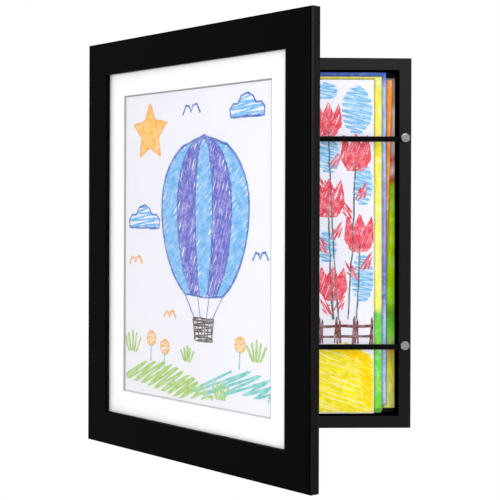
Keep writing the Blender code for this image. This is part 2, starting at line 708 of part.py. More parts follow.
def tooth_row():
    """The outline that cuts the teeth: notches along the raised middle's lower edge."""
    edge = -HANGER_HEIGHT / 2
    span = TOOTH_COUNT * TOOTH_PITCH / 2
    below = edge - CUT_OVERRUN
    points = [(-span, below), (span, below)]
    for i in range(TOOTH_COUNT):
        x = span - (i + 1 / 2) * TOOTH_PITCH
        points += [(x + TOOTH_PITCH / 2, edge - SEAT_GAP), (x, edge + TOOTH_DEPTH)]
    points.append((-span, edge - SEAT_GAP))
    return points


def make_hanger(name, wall, carrier):
    """A sawtooth hanger with its two nails, on an empty whose +Y points at the wall."""
    strip = meshed(plate(name, [hanger_section()], HANGER_HEIGHT))
    tab_y = SEAT_GAP
    placed(strip, carrier, (0, tab_y, 0), (0, 0, 0), hanger_steel)
    teeth = meshed(plate(f"{name}_teeth", [tooth_row()], WALL_STANDOFF + CUT_OVERRUN))
    cutters.objects.link(teeth)
    parts.objects.unlink(teeth)
    teeth.hide_render = True
    teeth.display_type = "WIRE"
    placed(teeth, carrier, (0, WALL_STANDOFF / 2, 0), (math.pi / 2, 0, 0))
    combine(strip, teeth)
    head_y = tab_y + HANGER_SHEET + SEAT_GAP
    profile = [
        (0, NAIL_HEAD_THICKNESS),
        (NAIL_HEAD_RADIUS, NAIL_HEAD_THICKNESS),
        (NAIL_HEAD_RADIUS, 0),
        (NAIL_SHANK_RADIUS, 0),
        (NAIL_SHANK_RADIUS, NAIL_SHANK_RADIUS - NAIL_LENGTH),
        (0, -NAIL_LENGTH),
    ]
    for end, sign in (("first", -1), ("second", 1)):
        x = sign * (HANGER_LENGTH - HANGER_TAB) / 2
        nail = turned(f"{name}_nail_{end}", profile, SMALL_SIDES)
        placed(nail, carrier, (x, head_y, 0), (-math.pi / 2, 0, 0), hanger_steel)
        hole = NAIL_SHANK_RADIUS + SIDE_GAP
        bore(strip, carrier, (x, tab_y + HANGER_SHEET, 0), 1, hole, HANGER_SHEET + SEAT_GAP)
        bore(wall, carrier, (x, 0, 0), 1, hole, NAIL_LENGTH)


def make_hangers(walls):
    """One hanger to hang the frame upright, and one to hang it with the hinges on top."""
    top_z = CENTRE_Z + (BOX_HEIGHT - WALL_THICKNESS) / 2
    upright = new_empty("hanger_upright_carrier", None, (0, BOX_BACK_Y, top_z))
    make_hanger("hanger_upright", walls["top"], upright)
    side_x = -(BOX_WIDTH - WALL_THICKNESS) / 2
    sideways = new_empty("hanger_sideways_carrier", None, (side_x, BOX_BACK_Y, CENTRE_Z), (0, -math.pi / 2, 0))
    make_hanger("hanger_sideways", walls["hinge"], sideways)


def make_bumpers():
    """Four soft bumpers on the back of the box's corners."""
    height = WALL_STANDOFF - SEAT_GAP
    flat = BUMPER_RADIUS - BUMPER_ROUND
    rim = arc((flat, height - BUMPER_ROUND), BUMPER_ROUND, math.pi / 2, 0)
    profile = [(0, height), *rim, (BUMPER_RADIUS, 0), (0, 0)]
    across = (BOX_WIDTH - WALL_THICKNESS) / 2
    along = (BOX_HEIGHT - WALL_THICKNESS) / 2
    for side, x in (("hinge", -across), ("free", across)):
        for level, z in zip(LEVELS, (along, -along)):
            bumper = turned(f"wall_bumper_{side}_{level}", profile)
            place = (x, BOX_BACK_Y + SEAT_GAP, CENTRE_Z + z)
            placed(bumper, None, place, (-math.pi / 2, 0, 0), bumper_rubber)


for old in list(bpy.data.objects):
    bpy.data.objects.remove(old)
parts = new_collection("childrens_art_frame")
cutters = new_collection("cutters")

door_black = new_material("door_black", (0.006, 0.006, 0.006), 0.42)
box_black = new_material("box_black", (0.024, 0.024, 0.025), 0.5)
panel_black = new_material("panel_black", (0.01, 0.01, 0.01), 0.7)
clear_sheet = new_material("clear_sheet", (0.95, 0.97, 0.97), 0.03, 0.0, 0.12)
mat_white = new_material("mat_white", (0.93, 0.93, 0.93), 0.85)
paper_white = new_material("paper_white", (0.91, 0.90, 0.93), 0.8)
board_brown = new_material("board_brown", (0.16, 0.09, 0.045), 0.75)
hinge_steel = new_material("hinge_steel", (0.09, 0.09, 0.095), 0.4, 1.0)
screw_steel = new_material("screw_steel", (0.45, 0.45, 0.46), 0.35, 1.0)
button_steel = new_material("button_steel", (0.5, 0.5, 0.5), 0.35, 1.0)
stud_steel = new_material("stud_steel", (0.42, 0.42, 0.42), 0.3, 1.0)
magnet_nickel = new_material("magnet_nickel", (0.6, 0.59, 0.56), 0.2, 1.0)
band_black = new_material("band_black", (0.008, 0.008, 0.009), 0.8)
hanger_steel = new_material("hanger_steel", (0.5, 0.42, 0.22), 0.35, 1.0)
bumper_rubber = new_material("bumper_rubber", (0.02, 0.02, 0.02), 0.8)
stack_papers = (
    new_material("stack_lavender", (0.82, 0.80, 0.92), 0.8),
    new_material("stack_yellow", (0.87, 0.75, 0.10), 0.8),
    new_material("stack_blue", (0.15, 0.27, 0.80), 0.8),
    new_material("stack_orange", (0.90, 0.35, 0.06), 0.8),
    new_material("stack_pink", (0.80, 0.45, 0.45), 0.8),
)

door = new_empty(
    "door_hinge_axis", None, (HINGE_X, HINGE_Y, CENTRE_Z), (0, 0, -math.radians(DOOR_OPEN_DEG))
)
door_hinge_stile, door_free_stile = make_door_rails()
make_glazing_pack()
box_walls = make_box()
make_hinges(box_walls["hinge"], door_hinge_stile)
make_turn_buttons(door_hinge_stile, door_free_stile)
make_studs(box_walls)
make_bands()
make_catch(door_hinge_stile, door_free_stile)
make_stack()
make_hangers(box_walls)
make_bumpers()
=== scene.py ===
"""Looks of the children's art frame: finishes, crayon drawings, small fasteners, light and camera.

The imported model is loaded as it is. Its nodes keep their shapes and get procedural materials. New
pieces ride on the model's bodies: the wall box, and the door that swings on it.
"""

import json
import logging
import math
import random
from dataclasses import dataclass, field
from enum import Enum
from typing import Callable

import bpy
from mathutils import Matrix, Vector

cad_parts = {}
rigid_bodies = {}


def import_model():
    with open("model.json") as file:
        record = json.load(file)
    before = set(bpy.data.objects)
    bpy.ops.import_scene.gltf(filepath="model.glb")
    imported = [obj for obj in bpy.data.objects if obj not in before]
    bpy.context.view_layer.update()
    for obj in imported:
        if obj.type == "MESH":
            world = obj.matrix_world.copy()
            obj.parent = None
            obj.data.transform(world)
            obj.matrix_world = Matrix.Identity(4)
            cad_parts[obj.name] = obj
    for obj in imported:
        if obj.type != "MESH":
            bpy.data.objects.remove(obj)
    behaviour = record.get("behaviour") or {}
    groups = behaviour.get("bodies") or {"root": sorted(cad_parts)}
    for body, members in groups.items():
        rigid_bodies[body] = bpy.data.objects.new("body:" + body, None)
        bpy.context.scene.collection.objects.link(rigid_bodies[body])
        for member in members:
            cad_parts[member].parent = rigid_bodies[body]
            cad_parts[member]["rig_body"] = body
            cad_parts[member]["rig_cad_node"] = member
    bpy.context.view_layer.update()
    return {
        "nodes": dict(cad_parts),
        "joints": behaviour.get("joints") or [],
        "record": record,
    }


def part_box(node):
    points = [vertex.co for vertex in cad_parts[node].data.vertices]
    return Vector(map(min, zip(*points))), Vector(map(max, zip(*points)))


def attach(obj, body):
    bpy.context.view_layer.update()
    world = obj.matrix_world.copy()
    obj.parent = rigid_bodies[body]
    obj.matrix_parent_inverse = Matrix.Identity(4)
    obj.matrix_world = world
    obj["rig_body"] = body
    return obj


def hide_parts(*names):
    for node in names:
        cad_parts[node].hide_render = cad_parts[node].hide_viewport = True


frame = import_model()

log = logging.getLogger("art_frame")

Colour = tuple[float, float, float]
Place = tuple[float, float, float]
Point = tuple[float, float]
Socket = bpy.types.NodeSocket
MM = 0.001
UP = Vector((0, 0, 1))


class Body(Enum):
    """The rigid bodies that new pieces ride on."""

    BOX = "wall_box"
    DOOR = "door"


def srgb(red: int, green: int, blue: int) -> Colour:
    """A colour given as 0 to 255 screen values.

    Args:
        red: Red, 0 to 255.
        green: Green, 0 to 255.
        blue: Blue, 0 to 255.

    Returns:
        The same colour as linear values.
    """

    def linear(value: int) -> float:
        """One channel as a linear value."""
        share = value / 255
        return share / 12.92 if share <= 0.04045 else ((share + 0.055) / 1.055) ** 2.4

    return linear(red), linear(green), linear(blue)


def grey(value: float) -> Colour:
    """A neutral colour of one linear value."""
    return value, value, value


@dataclass(frozen=True)
class Page:
    """A flat place with a middle and its directions right, up and out."""

    middle: Vector
    right: Vector
    up: Vector
    out: Vector

    def matrix(self, lift: float = 0.0) -> Matrix:
        """The matrix from the page, raised by a lift in metres, to the row frame."""
        turn = Matrix((self.right, self.up, self.out)).transposed().to_4x4()
        return Matrix.Translation(self.middle + self.out * lift) @ turn


@dataclass(frozen=True)
class DoorPlace:
    """Where the open door is: its hinge axis and how far it stands open at rest."""

    axis: Vector
    open_deg: float
    middle_x: float = 148.9 * MM

    @classmethod
    def from_record(cls) -> "DoorPlace":
        """Reads the door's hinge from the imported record."""
        hinge = next(joint for joint in frame["joints"] if joint["name"] == "door_hinge")
        return cls(Vector(hinge["pos_m"]), -hinge["range_deg"][0])

    def matrix(self) -> Matrix:
        """The matrix from the closed door, measured from its axis, to the row frame."""
        turn = Matrix.Rotation(-math.radians(self.open_deg), 4, "Z")
        return Matrix.Translation(self.axis) @ turn

    def page(self, depth: float, way: float = -1.0) -> Page:
        """A page round the door's middle.

        Args:
            depth: Its Y from the axis with the door shut, negative to the front.
            way: -1 for a page that faces the front, 1 for the back.

        Returns:
            The page.
        """
        middle = self.matrix() @ Vector((self.middle_x, depth, 0))
        turn = self.matrix().to_3x3()
        return Page(middle, turn @ Vector((-way, 0, 0)), UP, turn @ Vector((0, way, 0)))


TOP_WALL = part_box("box_wall_top")
BOX_LOW = Vector((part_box("box_wall_hinge")[0].x, TOP_WALL[0].y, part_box("box_wall_bottom")[0].z))
BOX_HIGH = Vector((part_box("box_wall_free")[1].x, TOP_WALL[1].y, TOP_WALL[1].z))
BOX_MIDDLE = (BOX_LOW + BOX_HIGH) / 2
BOX_HALF_WIDTH = (BOX_HIGH.x - BOX_LOW.x) / 2
BOX_HALF_HEIGHT = (BOX_HIGH.z - BOX_LOW.z) / 2
WALL_THICKNESS = 12.1 * MM
RIM = Page(Vector((0, BOX_LOW.y, BOX_MIDDLE.z)), Vector((1, 0, 0)), UP, Vector((0, -1, 0)))
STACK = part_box("drawing_bundle_1")
STACK_FACE = Page(Vector((0, STACK[0].y, BOX_MIDDLE.z)), RIM.right, UP, RIM.out)

DOOR = DoorPlace.from_record()
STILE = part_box("door_stile_hinge")
DOOR_HALF_WIDTH = 154.9 * MM
DOOR_HALF_HEIGHT = (STILE[1].z - STILE[0].z) / 2
DOOR_FACE = DOOR.page(-11.6 * MM)
DOOR_BACK = DOOR.page(-2.0 * MM, way=1.0)
DISPLAY_FACE = DOOR.page(-4.65 * MM)
WINDOW_HALF_WIDTH = 102.05 * MM
WINDOW_HALF_HEIGHT = 134.4 * MM

EDGE_BLUR = 0.2 * MM
FINE_BLUR = 0.1 * MM


class Nodes:
    """A node tree, with short calls for the nodes that are shared."""

    def __init__(self, tree: bpy.types.NodeTree) -> None:
        """Keeps the tree."""
        self.tree = tree

    def fill(self, target: Socket, value: object) -> None:
        """Joins an input to an output, or sets the input's own value.

        Args:
            target: The input.
            value: The output, number, vector or colour.
        """
        if isinstance(value, Socket):
            self.tree.links.new(value, target)
        else:
            target.default_value = (*value, 1.0) if target.type == "RGBA" else value

    def add(
        self,
        kind: str,
        inputs: dict[str | int, object] | None = None,
        output: str | int = 0,
        **settings: object,
    ) -> Socket:
        """Adds a node.

        Args:
            kind: The node's type.
            inputs: What fills each of its inputs.
            output: The output that is wanted.
            settings: Values of the node's own properties.

        Returns:
            The output.
        """
        node = self.tree.nodes.new(kind)
        for name, value in settings.items():
            setattr(node, name, value)
        for name, value in (inputs or {}).items():
            self.fill(node.inputs[name], value)
        return node.outputs[output]

    def math(self, operation: str, *values: Socket | float) -> Socket:
        """One step of arithmetic on two or three values."""
        return self.add("ShaderNodeMath", dict(enumerate(values)), operation=operation)

    def sum(self, first: Socket, second: Socket, factor: float = 1.0) -> Socket:
        """Adds a second value, times a factor, to a first."""
        return self.math("MULTIPLY_ADD", second, factor, first)

    def remap(
        self, value: Socket, low: float, high: float, to_low: float = 0.0, to_high: float = 1.0
    ) -> Socket:
        """Maps the range from low to high of a value onto to_low to to_high, and clamps it."""
        inputs = dict(enumerate((value, low, high, to_low, to_high)))
        return self.add("ShaderNodeMapRange", inputs)


class NodeSheet(Nodes):
    """A material's nodes, with the calls that the finishes share."""

    plain_names: dict[str, str] = {
        "colour": "Base Color",
        "rough": "Roughness",
        "gloss": "Specular IOR Level",
        "metal": "Metallic",
        "cover": "Alpha",
    }

    def __init__(self, name: str) -> None:
        """Starts a material.

        Args:
            name: The material's name.
        """
        self.material = bpy.data.materials.new(name)
        self.material.use_nodes = True
        super().__init__(self.material.node_tree)
        self.shader = self.tree.nodes["Principled BSDF"]
        self.place = self.add("ShaderNodeTexCoord", output="Object")

    def stretched(self, *scale: float) -> Socket:
        """The object coordinates, scaled along each axis."""
        return self.add("ShaderNodeMapping", {"Vector": self.place, "Scale": scale})

    def noise(
        self, scale: float, detail: float = 3.0, roughness: float = 0.5, place: Socket | None = None
    ) -> Socket:
        """Fractal noise round 0.5: its cells in a metre, its octaves and the fine ones' share."""
        inputs = {"Vector": place or self.place, "Scale": scale, "Detail": detail}
        return self.add("ShaderNodeTexNoise", {**inputs, "Roughness": roughness}, "Fac")

    def measure(self, operation: str, *vectors: Vector) -> Socket:
        """A number from the object coordinates and perhaps another vector."""
        inputs = dict(enumerate((self.place, *vectors)))
        return self.add("ShaderNodeVectorMath", inputs, "Value", operation=operation)

    def past(self, page: Page, way: Vector, start: float = 0.0) -> Socket:
        """How far a point lies along a way past a start, measured from a page's middle."""
        along = self.measure("DOT_PRODUCT", way)
        return self.math("SUBTRACT", along, page.middle.dot(way) + start)

    def outside(self, page: Page, half_width: float, half_height: float) -> Socket:
        """How far a point lies outside a rectangle round a page's middle.

        Args:
            page: The page.
            half_width: Half the rectangle's width.
            half_height: Half its height.

        Returns:
            The distance, negative inside.
        """
        sides = [self.past(page, way * page.right, half_width) for way in (-1, 1)]
        ends = [self.past(page, way * page.up, half_height) for way in (-1, 1)]
        return self.math("MAXIMUM", self.math("MAXIMUM", *sides), self.math("MAXIMUM", *ends))

    def strip(self, distance: Socket, start: float, end: float, blur: float = FINE_BLUR) -> Socket:
        """1 where a distance lies between a start and an end, with soft edges as wide as a blur."""
        inner = self.remap(distance, start - blur, start)
        return self.math("MULTIPLY", inner, self.remap(distance, end, end + blur, 1, 0))

    def tone(self, *parts: tuple[Socket, float, float, float]) -> Socket:
        """Adds two noises, each given with its low end, its high end and its share of the sum."""
        first, second = (self.remap(noise, low, high, 0, most) for noise, low, high, most in parts)
        return self.sum(first, second)

    def mix(self, factor: Socket, first: Colour | Socket, second: Colour | Socket) -> Socket:
        """Mixes two colours: a factor of 0 gives the first, 1 the second."""
        return self.add("ShaderNodeMix", {0: factor, 6: first, 7: second}, 2, data_type="RGBA")

    def ramp(self, factor: Socket, stops: list[tuple[float, Colour]]) -> Socket:
        """Turns a value into a colour.

        Args:
            factor: The value, 0 to 1.
            stops: Each place on the ramp with its colour.

        Returns:
            The colour.
        """
        node = self.tree.nodes.new("ShaderNodeValToRGB")
        elements = node.color_ramp.elements
        for _ in range(len(stops) - len(elements)):
            elements.new(0.5)
        for element, (place, colour) in zip(elements, stops):
            element.position = place
            element.color = (*colour, 1.0)
        self.fill(node.inputs["Fac"], factor)
        return node.outputs["Color"]

    def coat(self, **values: object) -> None:
        """Sets the shader's inputs by their plain names, each from an output or to a value."""
        for name, value in values.items():
            self.fill(self.shader.inputs[self.plain_names[name]], value)

    def over(self, factor: Socket, colour: Colour | Socket) -> None:
        """Lays a colour over the surface's own where a factor is 1."""
        under = self.shader.inputs["Base Color"].links[0].from_socket
        self.coat(colour=self.mix(factor, under, colour))

    def bump(self, height: Socket, strength: float, distance: float) -> None:
        """Raises the surface by a height of 0 to 1, whose 1 stands for a distance in metres."""
        inputs = {"Height": height, "Strength": strength, "Distance": distance}
        self.fill(self.shader.inputs["Normal"], self.add("ShaderNodeBump", inputs))


@dataclass(frozen=True)
class Finish:
    """A finish with a name. Its material is made once and then shared."""

    name: str

    def build(self, sheet: NodeSheet) -> None:
        """Wires the finish's nodes."""
        raise NotImplementedError

    def material(self) -> bpy.types.Material:
        """The finish's material, made when it is first asked for.

        Returns:
            The material.
        """
        found = bpy.data.materials.get(self.name)
        if found:
            return found
        sheet = NodeSheet(self.name)
        self.build(sheet)
        return sheet.material

    def dress(self, obj: bpy.types.Object) -> None:
        """Gives an object this finish alone."""
        obj.data.materials.clear()
        obj.data.materials.append(self.material())


@dataclass(frozen=True)
class BlackPaint(Finish):
    """Sprayed black paint on smooth fibreboard, with a fine eggshell texture."""

    dark: Colour
    light: Colour
    roughness: float
    specular: float

    def cloud(self, sheet: NodeSheet) -> Socket:
        """The slow noise under the paint."""
        return sheet.noise(18, 4, 0.6)

    def build(self, sheet: NodeSheet) -> None:
        """Wires the paint: cloudy tone, fine speckle and an eggshell bump.

        Args:
            sheet: The node sheet.
        """
        cloud = self.cloud(sheet)
        tone = sheet.tone((cloud, 0.3, 0.7, 0.7), (sheet.noise(2600, 2), 0.35, 0.65, 0.3))
        sheet.coat(
            colour=sheet.mix(tone, self.dark, self.light),
            rough=sheet.remap(cloud, 0.3, 0.7, self.roughness - 0.04, self.roughness + 0.05),
            gloss=self.specular,
        )
        sheet.bump(sheet.noise(1500, 3, 0.55), 0.25, 0.04 * MM)


@dataclass(frozen=True)
class DoorPaint(BlackPaint):
    """Door paint: darker arrises, painted light on the free side, rubbed glossy where hands open
    it.
    """

    arris: float = 1.3 * MM
    plain_gloss: tuple[float, float] = (0.055, 0.085)
    plain_heights: tuple[float, float] = (-0.15, 0.2)
    worn_gloss: float = 0.2
    worn_heights: tuple[float, float] = (-0.08, 0.22)
    worn_depths: tuple[float, float] = (1.2 * MM, 2.0 * MM)
    worn_blur: float = 0.8 * MM

    def build(self, sheet: NodeSheet) -> None:
        """Adds dark outer arrises, painted light on the free side, and gloss there, most near the
        top.

        Args:
            sheet: The node sheet.
        """
        super().build(sheet)
        inner_width, inner_height = DOOR_HALF_WIDTH - self.arris, DOOR_HALF_HEIGHT - self.arris
        rounding = sheet.remap(sheet.outside(DOOR_FACE, inner_width, inner_height), 0, EDGE_BLUR)
        free = sheet.remap(sheet.past(DOOR_FACE, DOOR_FACE.right, inner_width), 0, EDGE_BLUR)
        depth = sheet.past(DOOR_FACE, -DOOR_FACE.out)
        side = sheet.math("MULTIPLY", free, sheet.remap(depth, EDGE_BLUR, 4 * EDGE_BLUR))
        sheet.over(rounding, tuple(0.2 * channel for channel in self.dark))
        # painted light: the free side face is coloured lighter than the front, standing in for the
        # light that falls on it
        sheet.over(side, tuple(1.6 * channel for channel in self.light))
        wear = sheet.sum(sheet.past(DOOR_FACE, DOOR_FACE.up), self.cloud(sheet), 0.08)
        plain = sheet.remap(wear, *self.plain_heights, *self.plain_gloss)
        worn = sheet.remap(wear, *self.worn_heights, 0, self.worn_gloss)
        worn = sheet.math("MULTIPLY", worn, sheet.strip(depth, *self.worn_depths, self.worn_blur))
        side_gloss = sheet.math("MULTIPLY", side, sheet.math("ADD", plain, worn))
        face_gloss = sheet.remap(rounding, 0, 1, self.specular, 0)
        sheet.coat(gloss=sheet.math("MAXIMUM", side_gloss, face_gloss))


@dataclass(frozen=True)
class BoxPaint(BlackPaint):
    """Box paint: darker outer arris, rubbed near the top, painted shade on the inner walls."""

    arris: float = 1.0 * MM
    inner_shade_edge: tuple[float, float] = (0.3 * MM, 0.6 * MM)
    worn_gloss: float = 0.115
    worn_heights: tuple[float, float] = (0.03, 0.15)

    def build(self, sheet: NodeSheet) -> None:
        """Adds a satin rim, a darker arris and painted shade on the matt inner walls.

        Args:
            sheet: The node sheet.
        """
        super().build(sheet)
        opening = sheet.outside(
            RIM, BOX_HALF_WIDTH - WALL_THICKNESS, BOX_HALF_HEIGHT - WALL_THICKNESS
        )
        # painted shade: the inner walls are coloured near black where shade falls, and the arris
        # strip is darkened too
        inside = sheet.remap(opening, *self.inner_shade_edge, 1, 0)
        rounding = sheet.outside(RIM, BOX_HALF_WIDTH - self.arris, BOX_HALF_HEIGHT - self.arris)
        edge = sheet.strip(rounding, EDGE_BLUR, self.arris - FINE_BLUR)
        dark = sheet.math("MAXIMUM", inside, sheet.remap(edge, 0, 1, 0, 0.6))
        sheet.over(dark, grey(0.001))
        wear = sheet.sum(sheet.past(RIM, RIM.up), self.cloud(sheet), 0.04)
        satin = sheet.remap(wear, *self.worn_heights, self.specular, self.worn_gloss)
        sheet.coat(gloss=sheet.math("MULTIPLY", satin, sheet.remap(dark, 0, 1, 1, 0)))


@dataclass(frozen=True)
class FibreBoard(Finish):
    """Bare or faced hardboard: pressed fibres with dark and light flecks."""

    dark: Colour
    light: Colour
    roughness: float = 0.75

    def build(self, sheet: NodeSheet) -> None:
        """Wires the fibres as two stretched noises over a slow one.

        Args:
            sheet: The node sheet.
        """
        across = sheet.noise(1, 4, 0.65, sheet.stretched(700, 700, 160))
        along = sheet.noise(1, 4, 0.65, sheet.stretched(160, 700, 700))
        fibres = sheet.sum(across, along)
        tone = sheet.tone((fibres, 0.8, 1.2, 0.75), (sheet.noise(30), 0.35, 0.65, 0.25))
        sheet.coat(
            colour=sheet.mix(tone, self.dark, self.light),
            rough=sheet.remap(along, 0.3, 0.7, self.roughness - 0.06, self.roughness + 0.06),
            gloss=0.2,
        )
        sheet.bump(fibres, 0.3, 0.06 * MM)


@dataclass(frozen=True)
class Paper(Finish):
    """Drawing paper or mat board with a fine tooth."""

    light: Colour
    shade: Colour
    tooth: float = 1800.0
    depth: float = 0.03 * MM

    def build(self, sheet: NodeSheet) -> None:
        """Wires the paper's cloudy tint and its tooth.

        Args:
            sheet: The node sheet.
        """
        tooth = sheet.noise(self.tooth, 3, 0.6)
        tone = sheet.tone((sheet.noise(40), 0.35, 0.65, 0.6), (tooth, 0.35, 0.65, 0.4))
        sheet.coat(
            colour=sheet.mix(tone, self.light, self.shade),
            rough=sheet.remap(tooth, 0.3, 0.7, 0.82, 0.92),
            gloss=0.15,
        )
        sheet.bump(tooth, 0.2, self.depth)


@dataclass(frozen=True)
class MatBoard(Paper):
    """White mat board whose sloping window edge has painted shade, deeper at the top and left."""

    deep_bevel_shade: Colour = (0.28, 0.28, 0.285)
    pale_bevel_shade: Colour = grey(0.55)
    slope: float = 1.4 * MM

    def build(self, sheet: NodeSheet) -> None:
        """Wires the board as paper, then painted shade on the bevel along the window.

        Args:
            sheet: The node sheet.
        """
        super().build(sheet)
        # painted shade on the window's bevel: deep on the top and left sides, paler on the right
        # and bottom
        window = sheet.outside(DOOR_FACE, WINDOW_HALF_WIDTH, WINDOW_HALF_HEIGHT)
        left = sheet.past(DOOR_FACE, -DOOR_FACE.right, WINDOW_HALF_WIDTH)
        top = sheet.past(DOOR_FACE, DOOR_FACE.up, WINDOW_HALF_HEIGHT)
        shaded = sheet.remap(sheet.math("MAXIMUM", left, top), -FINE_BLUR, 0)
        bevel_shade = sheet.mix(shaded, self.pale_bevel_shade, self.deep_bevel_shade)
        sheet.over(sheet.remap(window, self.slope - FINE_BLUR, self.slope, 1, 0), bevel_shade)


@dataclass(frozen=True)
class ShadowLinedPaper(Paper):
    """Paper behind the mat, with a painted shadow line along the window's free side."""

    line: Colour = (0.6, 0.6, 0.61)
    width: float = 1.5 * MM

    def build(self, sheet: NodeSheet) -> None:
        """Wires the paper, then the painted shadow line along the window.

        Args:
            sheet: The node sheet.
        """
        super().build(sheet)
        # painted shadow: a grey line on the paper along the mat's free edge
        pressed = sheet.past(DOOR_FACE, DOOR_FACE.right, WINDOW_HALF_WIDTH - self.width)
        sheet.over(sheet.remap(pressed, 0, EDGE_BLUR), self.line)


@dataclass(frozen=True)
class Crayon(Finish):
    """Wax crayon rubbed on toothed paper: the paper shows through where the wax is thin."""

    wax: Colour
    paper: Colour
    bare: float

    def build(self, sheet: NodeSheet) -> None:
        """Wires the wax over the paper's tooth, denser in some places than in others.

        Args:
            sheet: The node sheet.
        """
        pressure = sheet.noise(170)
        level = sheet.sum(sheet.noise(1500, 4, 0.65), pressure, 0.35)
        thin = sheet.remap(level, self.bare + 0.1, self.bare + 0.26, 0.6, 0)
        deep = tuple(channel * 0.82 for channel in self.wax)
        wax = sheet.mix(sheet.remap(pressure, 0.3, 0.7), self.wax, deep)
        sheet.coat(
            colour=sheet.mix(thin, wax, self.paper),
            rough=sheet.remap(level, 0.4, 0.8, 0.75, 0.5),
            gloss=0.04,
        )
        sheet.bump(level, 0.3, 0.05 * MM)


@dataclass(frozen=True)
class Bundle:
    """A stored bundle: its node, slot, clockwise turn and how far its second sheet slipped."""

    node: str
    slot: str
    degrees: float
    slip: float = 0.0

    def page(self) -> Page:
        """The middle of its sheets, with their directions.

        Returns:
            The page.
        """
        low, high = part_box(self.node)
        turn = Matrix.Rotation(math.radians(self.degrees), 3, "Y")
        return Page((low + high) / 2, turn @ RIM.right, turn @ RIM.up, RIM.out)

    def half_size(self) -> tuple[float, float]:
        """Half the width and half the height of its sheets, from the box round the turned sheets.

        Returns:
            The half width and the half height.
        """
        low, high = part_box(self.node)
        turn = math.radians(abs(self.degrees))
        c, s = math.cos(turn), math.sin(turn)
        across, along = high.x - low.x, high.z - low.z
        spread = 2 * math.cos(2 * turn)
        return (across * c - along * s) / spread, (along * c - across * s) / spread


BUNDLES = (
    Bundle("drawing_bundle_1", "stack_lavender", -0.16),
    Bundle("drawing_bundle_2", "stack_yellow", -0.16, 3.3 * MM),
    Bundle("drawing_bundle_3", "stack_blue", -0.17, 0.6 * MM),
    Bundle("drawing_bundle_4", "stack_orange", 1.63),
    Bundle("drawing_bundle_5", "stack_pink", -0.12),
)


@dataclass(frozen=True)
class Wash(Finish):
    """A painted sheet whose colours change from the box's top to its bottom, darker along its
    edges.

    Its place counts the bundles. Each band is a share of the way down with its screen colour.
    """

    place: int
    bands: tuple[tuple[float, int, int, int], ...]
    pool: Colour
    bloom: Colour = grey(0.9)
    bloom_share: float = 0.4
    wander: float = 0.02
    edge_dark_width: float = 0.9 * MM
    edge_darkness: float = 0.45
    # painted shadow beside the sheets in front: its width and its darkness
    shade_width: float = 3.0 * MM
    shade_dark: float = 0.7

    def edges(self, sheet: NodeSheet) -> Socket:
        """How dark the wash is along its own edge, with painted shadow beside the sheets before it.

        Args:
            sheet: The node sheet.

        Returns:
            The darkness, 0 to 1.
        """
        own = BUNDLES[self.place]
        own_edge = sheet.outside(own.page(), *own.half_size())
        dark = sheet.remap(own_edge, -self.edge_dark_width, -FINE_BLUR, 0, self.edge_darkness)
        for bundle in BUNDLES[max(0, self.place - 2) : self.place]:
            beside = sheet.outside(bundle.page(), *bundle.half_size())
            shade = sheet.remap(beside, 0, self.shade_width, self.shade_dark, 0)
            dark = sheet.math("MAXIMUM", dark, shade)
        return dark

    def build(self, sheet: NodeSheet) -> None:
        """Wires the colour bands along Z, bent by noise, under pale blooms and brush streaks.

        Args:
            sheet: The node sheet.
        """
        height = sheet.add("ShaderNodeSeparateXYZ", {0: sheet.place}, "Z")
        bend = sheet.remap(sheet.noise(45, 3, 0.55), 0.25, 0.75, -0.5, 0.5)
        place = sheet.sum(sheet.remap(height, BOX_HIGH.z, BOX_LOW.z), bend, self.wander)
        streak = sheet.noise(1, 3, 0.6, sheet.stretched(300, 100, 70))
        sheet.coat(
            colour=sheet.ramp(place, [(share, srgb(*colour)) for share, *colour in self.bands]),
            rough=sheet.remap(streak, 0.3, 0.7, 0.7, 0.85),
            gloss=0.04,
        )
        patch = sheet.remap(sheet.noise(110, 4, 0.6), 0.48, 0.7, 0, self.bloom_share)
        sheet.over(patch, self.bloom)
        sheet.over(sheet.remap(streak, 0.42, 0.68, 0, 0.45), self.pool)
        # darker along the sheet's own edge, and painted shadow beside the sheets in front of it
        sheet.over(self.edges(sheet), grey(0.03))
        sheet.bump(sheet.noise(1500, 3, 0.6), 0.2, 0.03 * MM)


@dataclass(frozen=True)
class Metal(Finish):
    """Plated or blackened steel with fine scratches and a little tarnish."""

    bright: Colour
    dull: Colour
    roughness: float

    def build(self, sheet: NodeSheet) -> None:
        """Wires the tarnish, the roughness and the scratches.

        Args:
            sheet: The node sheet.
        """
        tarnish = sheet.remap(sheet.noise(260, 4, 0.6), 0.35, 0.7)
        scratch = sheet.noise(1, 3, 0.6, sheet.stretched(900, 4000, 5200))
        sheet.coat(
            colour=sheet.mix(tarnish, self.bright, self.dull),
            rough=sheet.remap(scratch, 0.3, 0.7, self.roughness - 0.06, self.roughness + 0.08),
            metal=1,
        )
        sheet.bump(scratch, 0.12, 0.02 * MM)


@dataclass(frozen=True)
class Elastic(Finish):
    """Flat woven elastic: lengthwise cords of rubber under a fine crosswise weave."""

    dark: Colour
    light: Colour
    cords: float = 1300.0
    picks: float = 1900.0

    def waves(self, sheet: NodeSheet, count: float, way: str) -> Socket:
        """The height of threads side by side, so many in a metre along an axis."""
        inputs = {"Vector": sheet.place, "Scale": count / math.tau, "Distortion": 0.4}
        return sheet.add("ShaderNodeTexWave", inputs, "Fac", wave_type="BANDS", bands_direction=way)

    def build(self, sheet: NodeSheet) -> None:
        """Wires the cords, the weave and the fuzz.

        Args:
            sheet: The node sheet.
        """
        cords, picks = self.waves(sheet, self.cords, "Z"), self.waves(sheet, self.picks, "X")
        weave = sheet.sum(cords, picks, 0.5)
        fuzz = sheet.noise(5200, 3, 0.7)
        tone = sheet.tone((weave, 0.2, 1.4, 0.8), (fuzz, 0.4, 0.7, 0.25))
        sheet.coat(
            colour=sheet.mix(tone, self.dark, self.light),
            rough=sheet.remap(fuzz, 0.3, 0.7, 0.75, 0.95),
            gloss=0.02,
        )
        sheet.bump(weave, 0.6, 0.12 * MM)


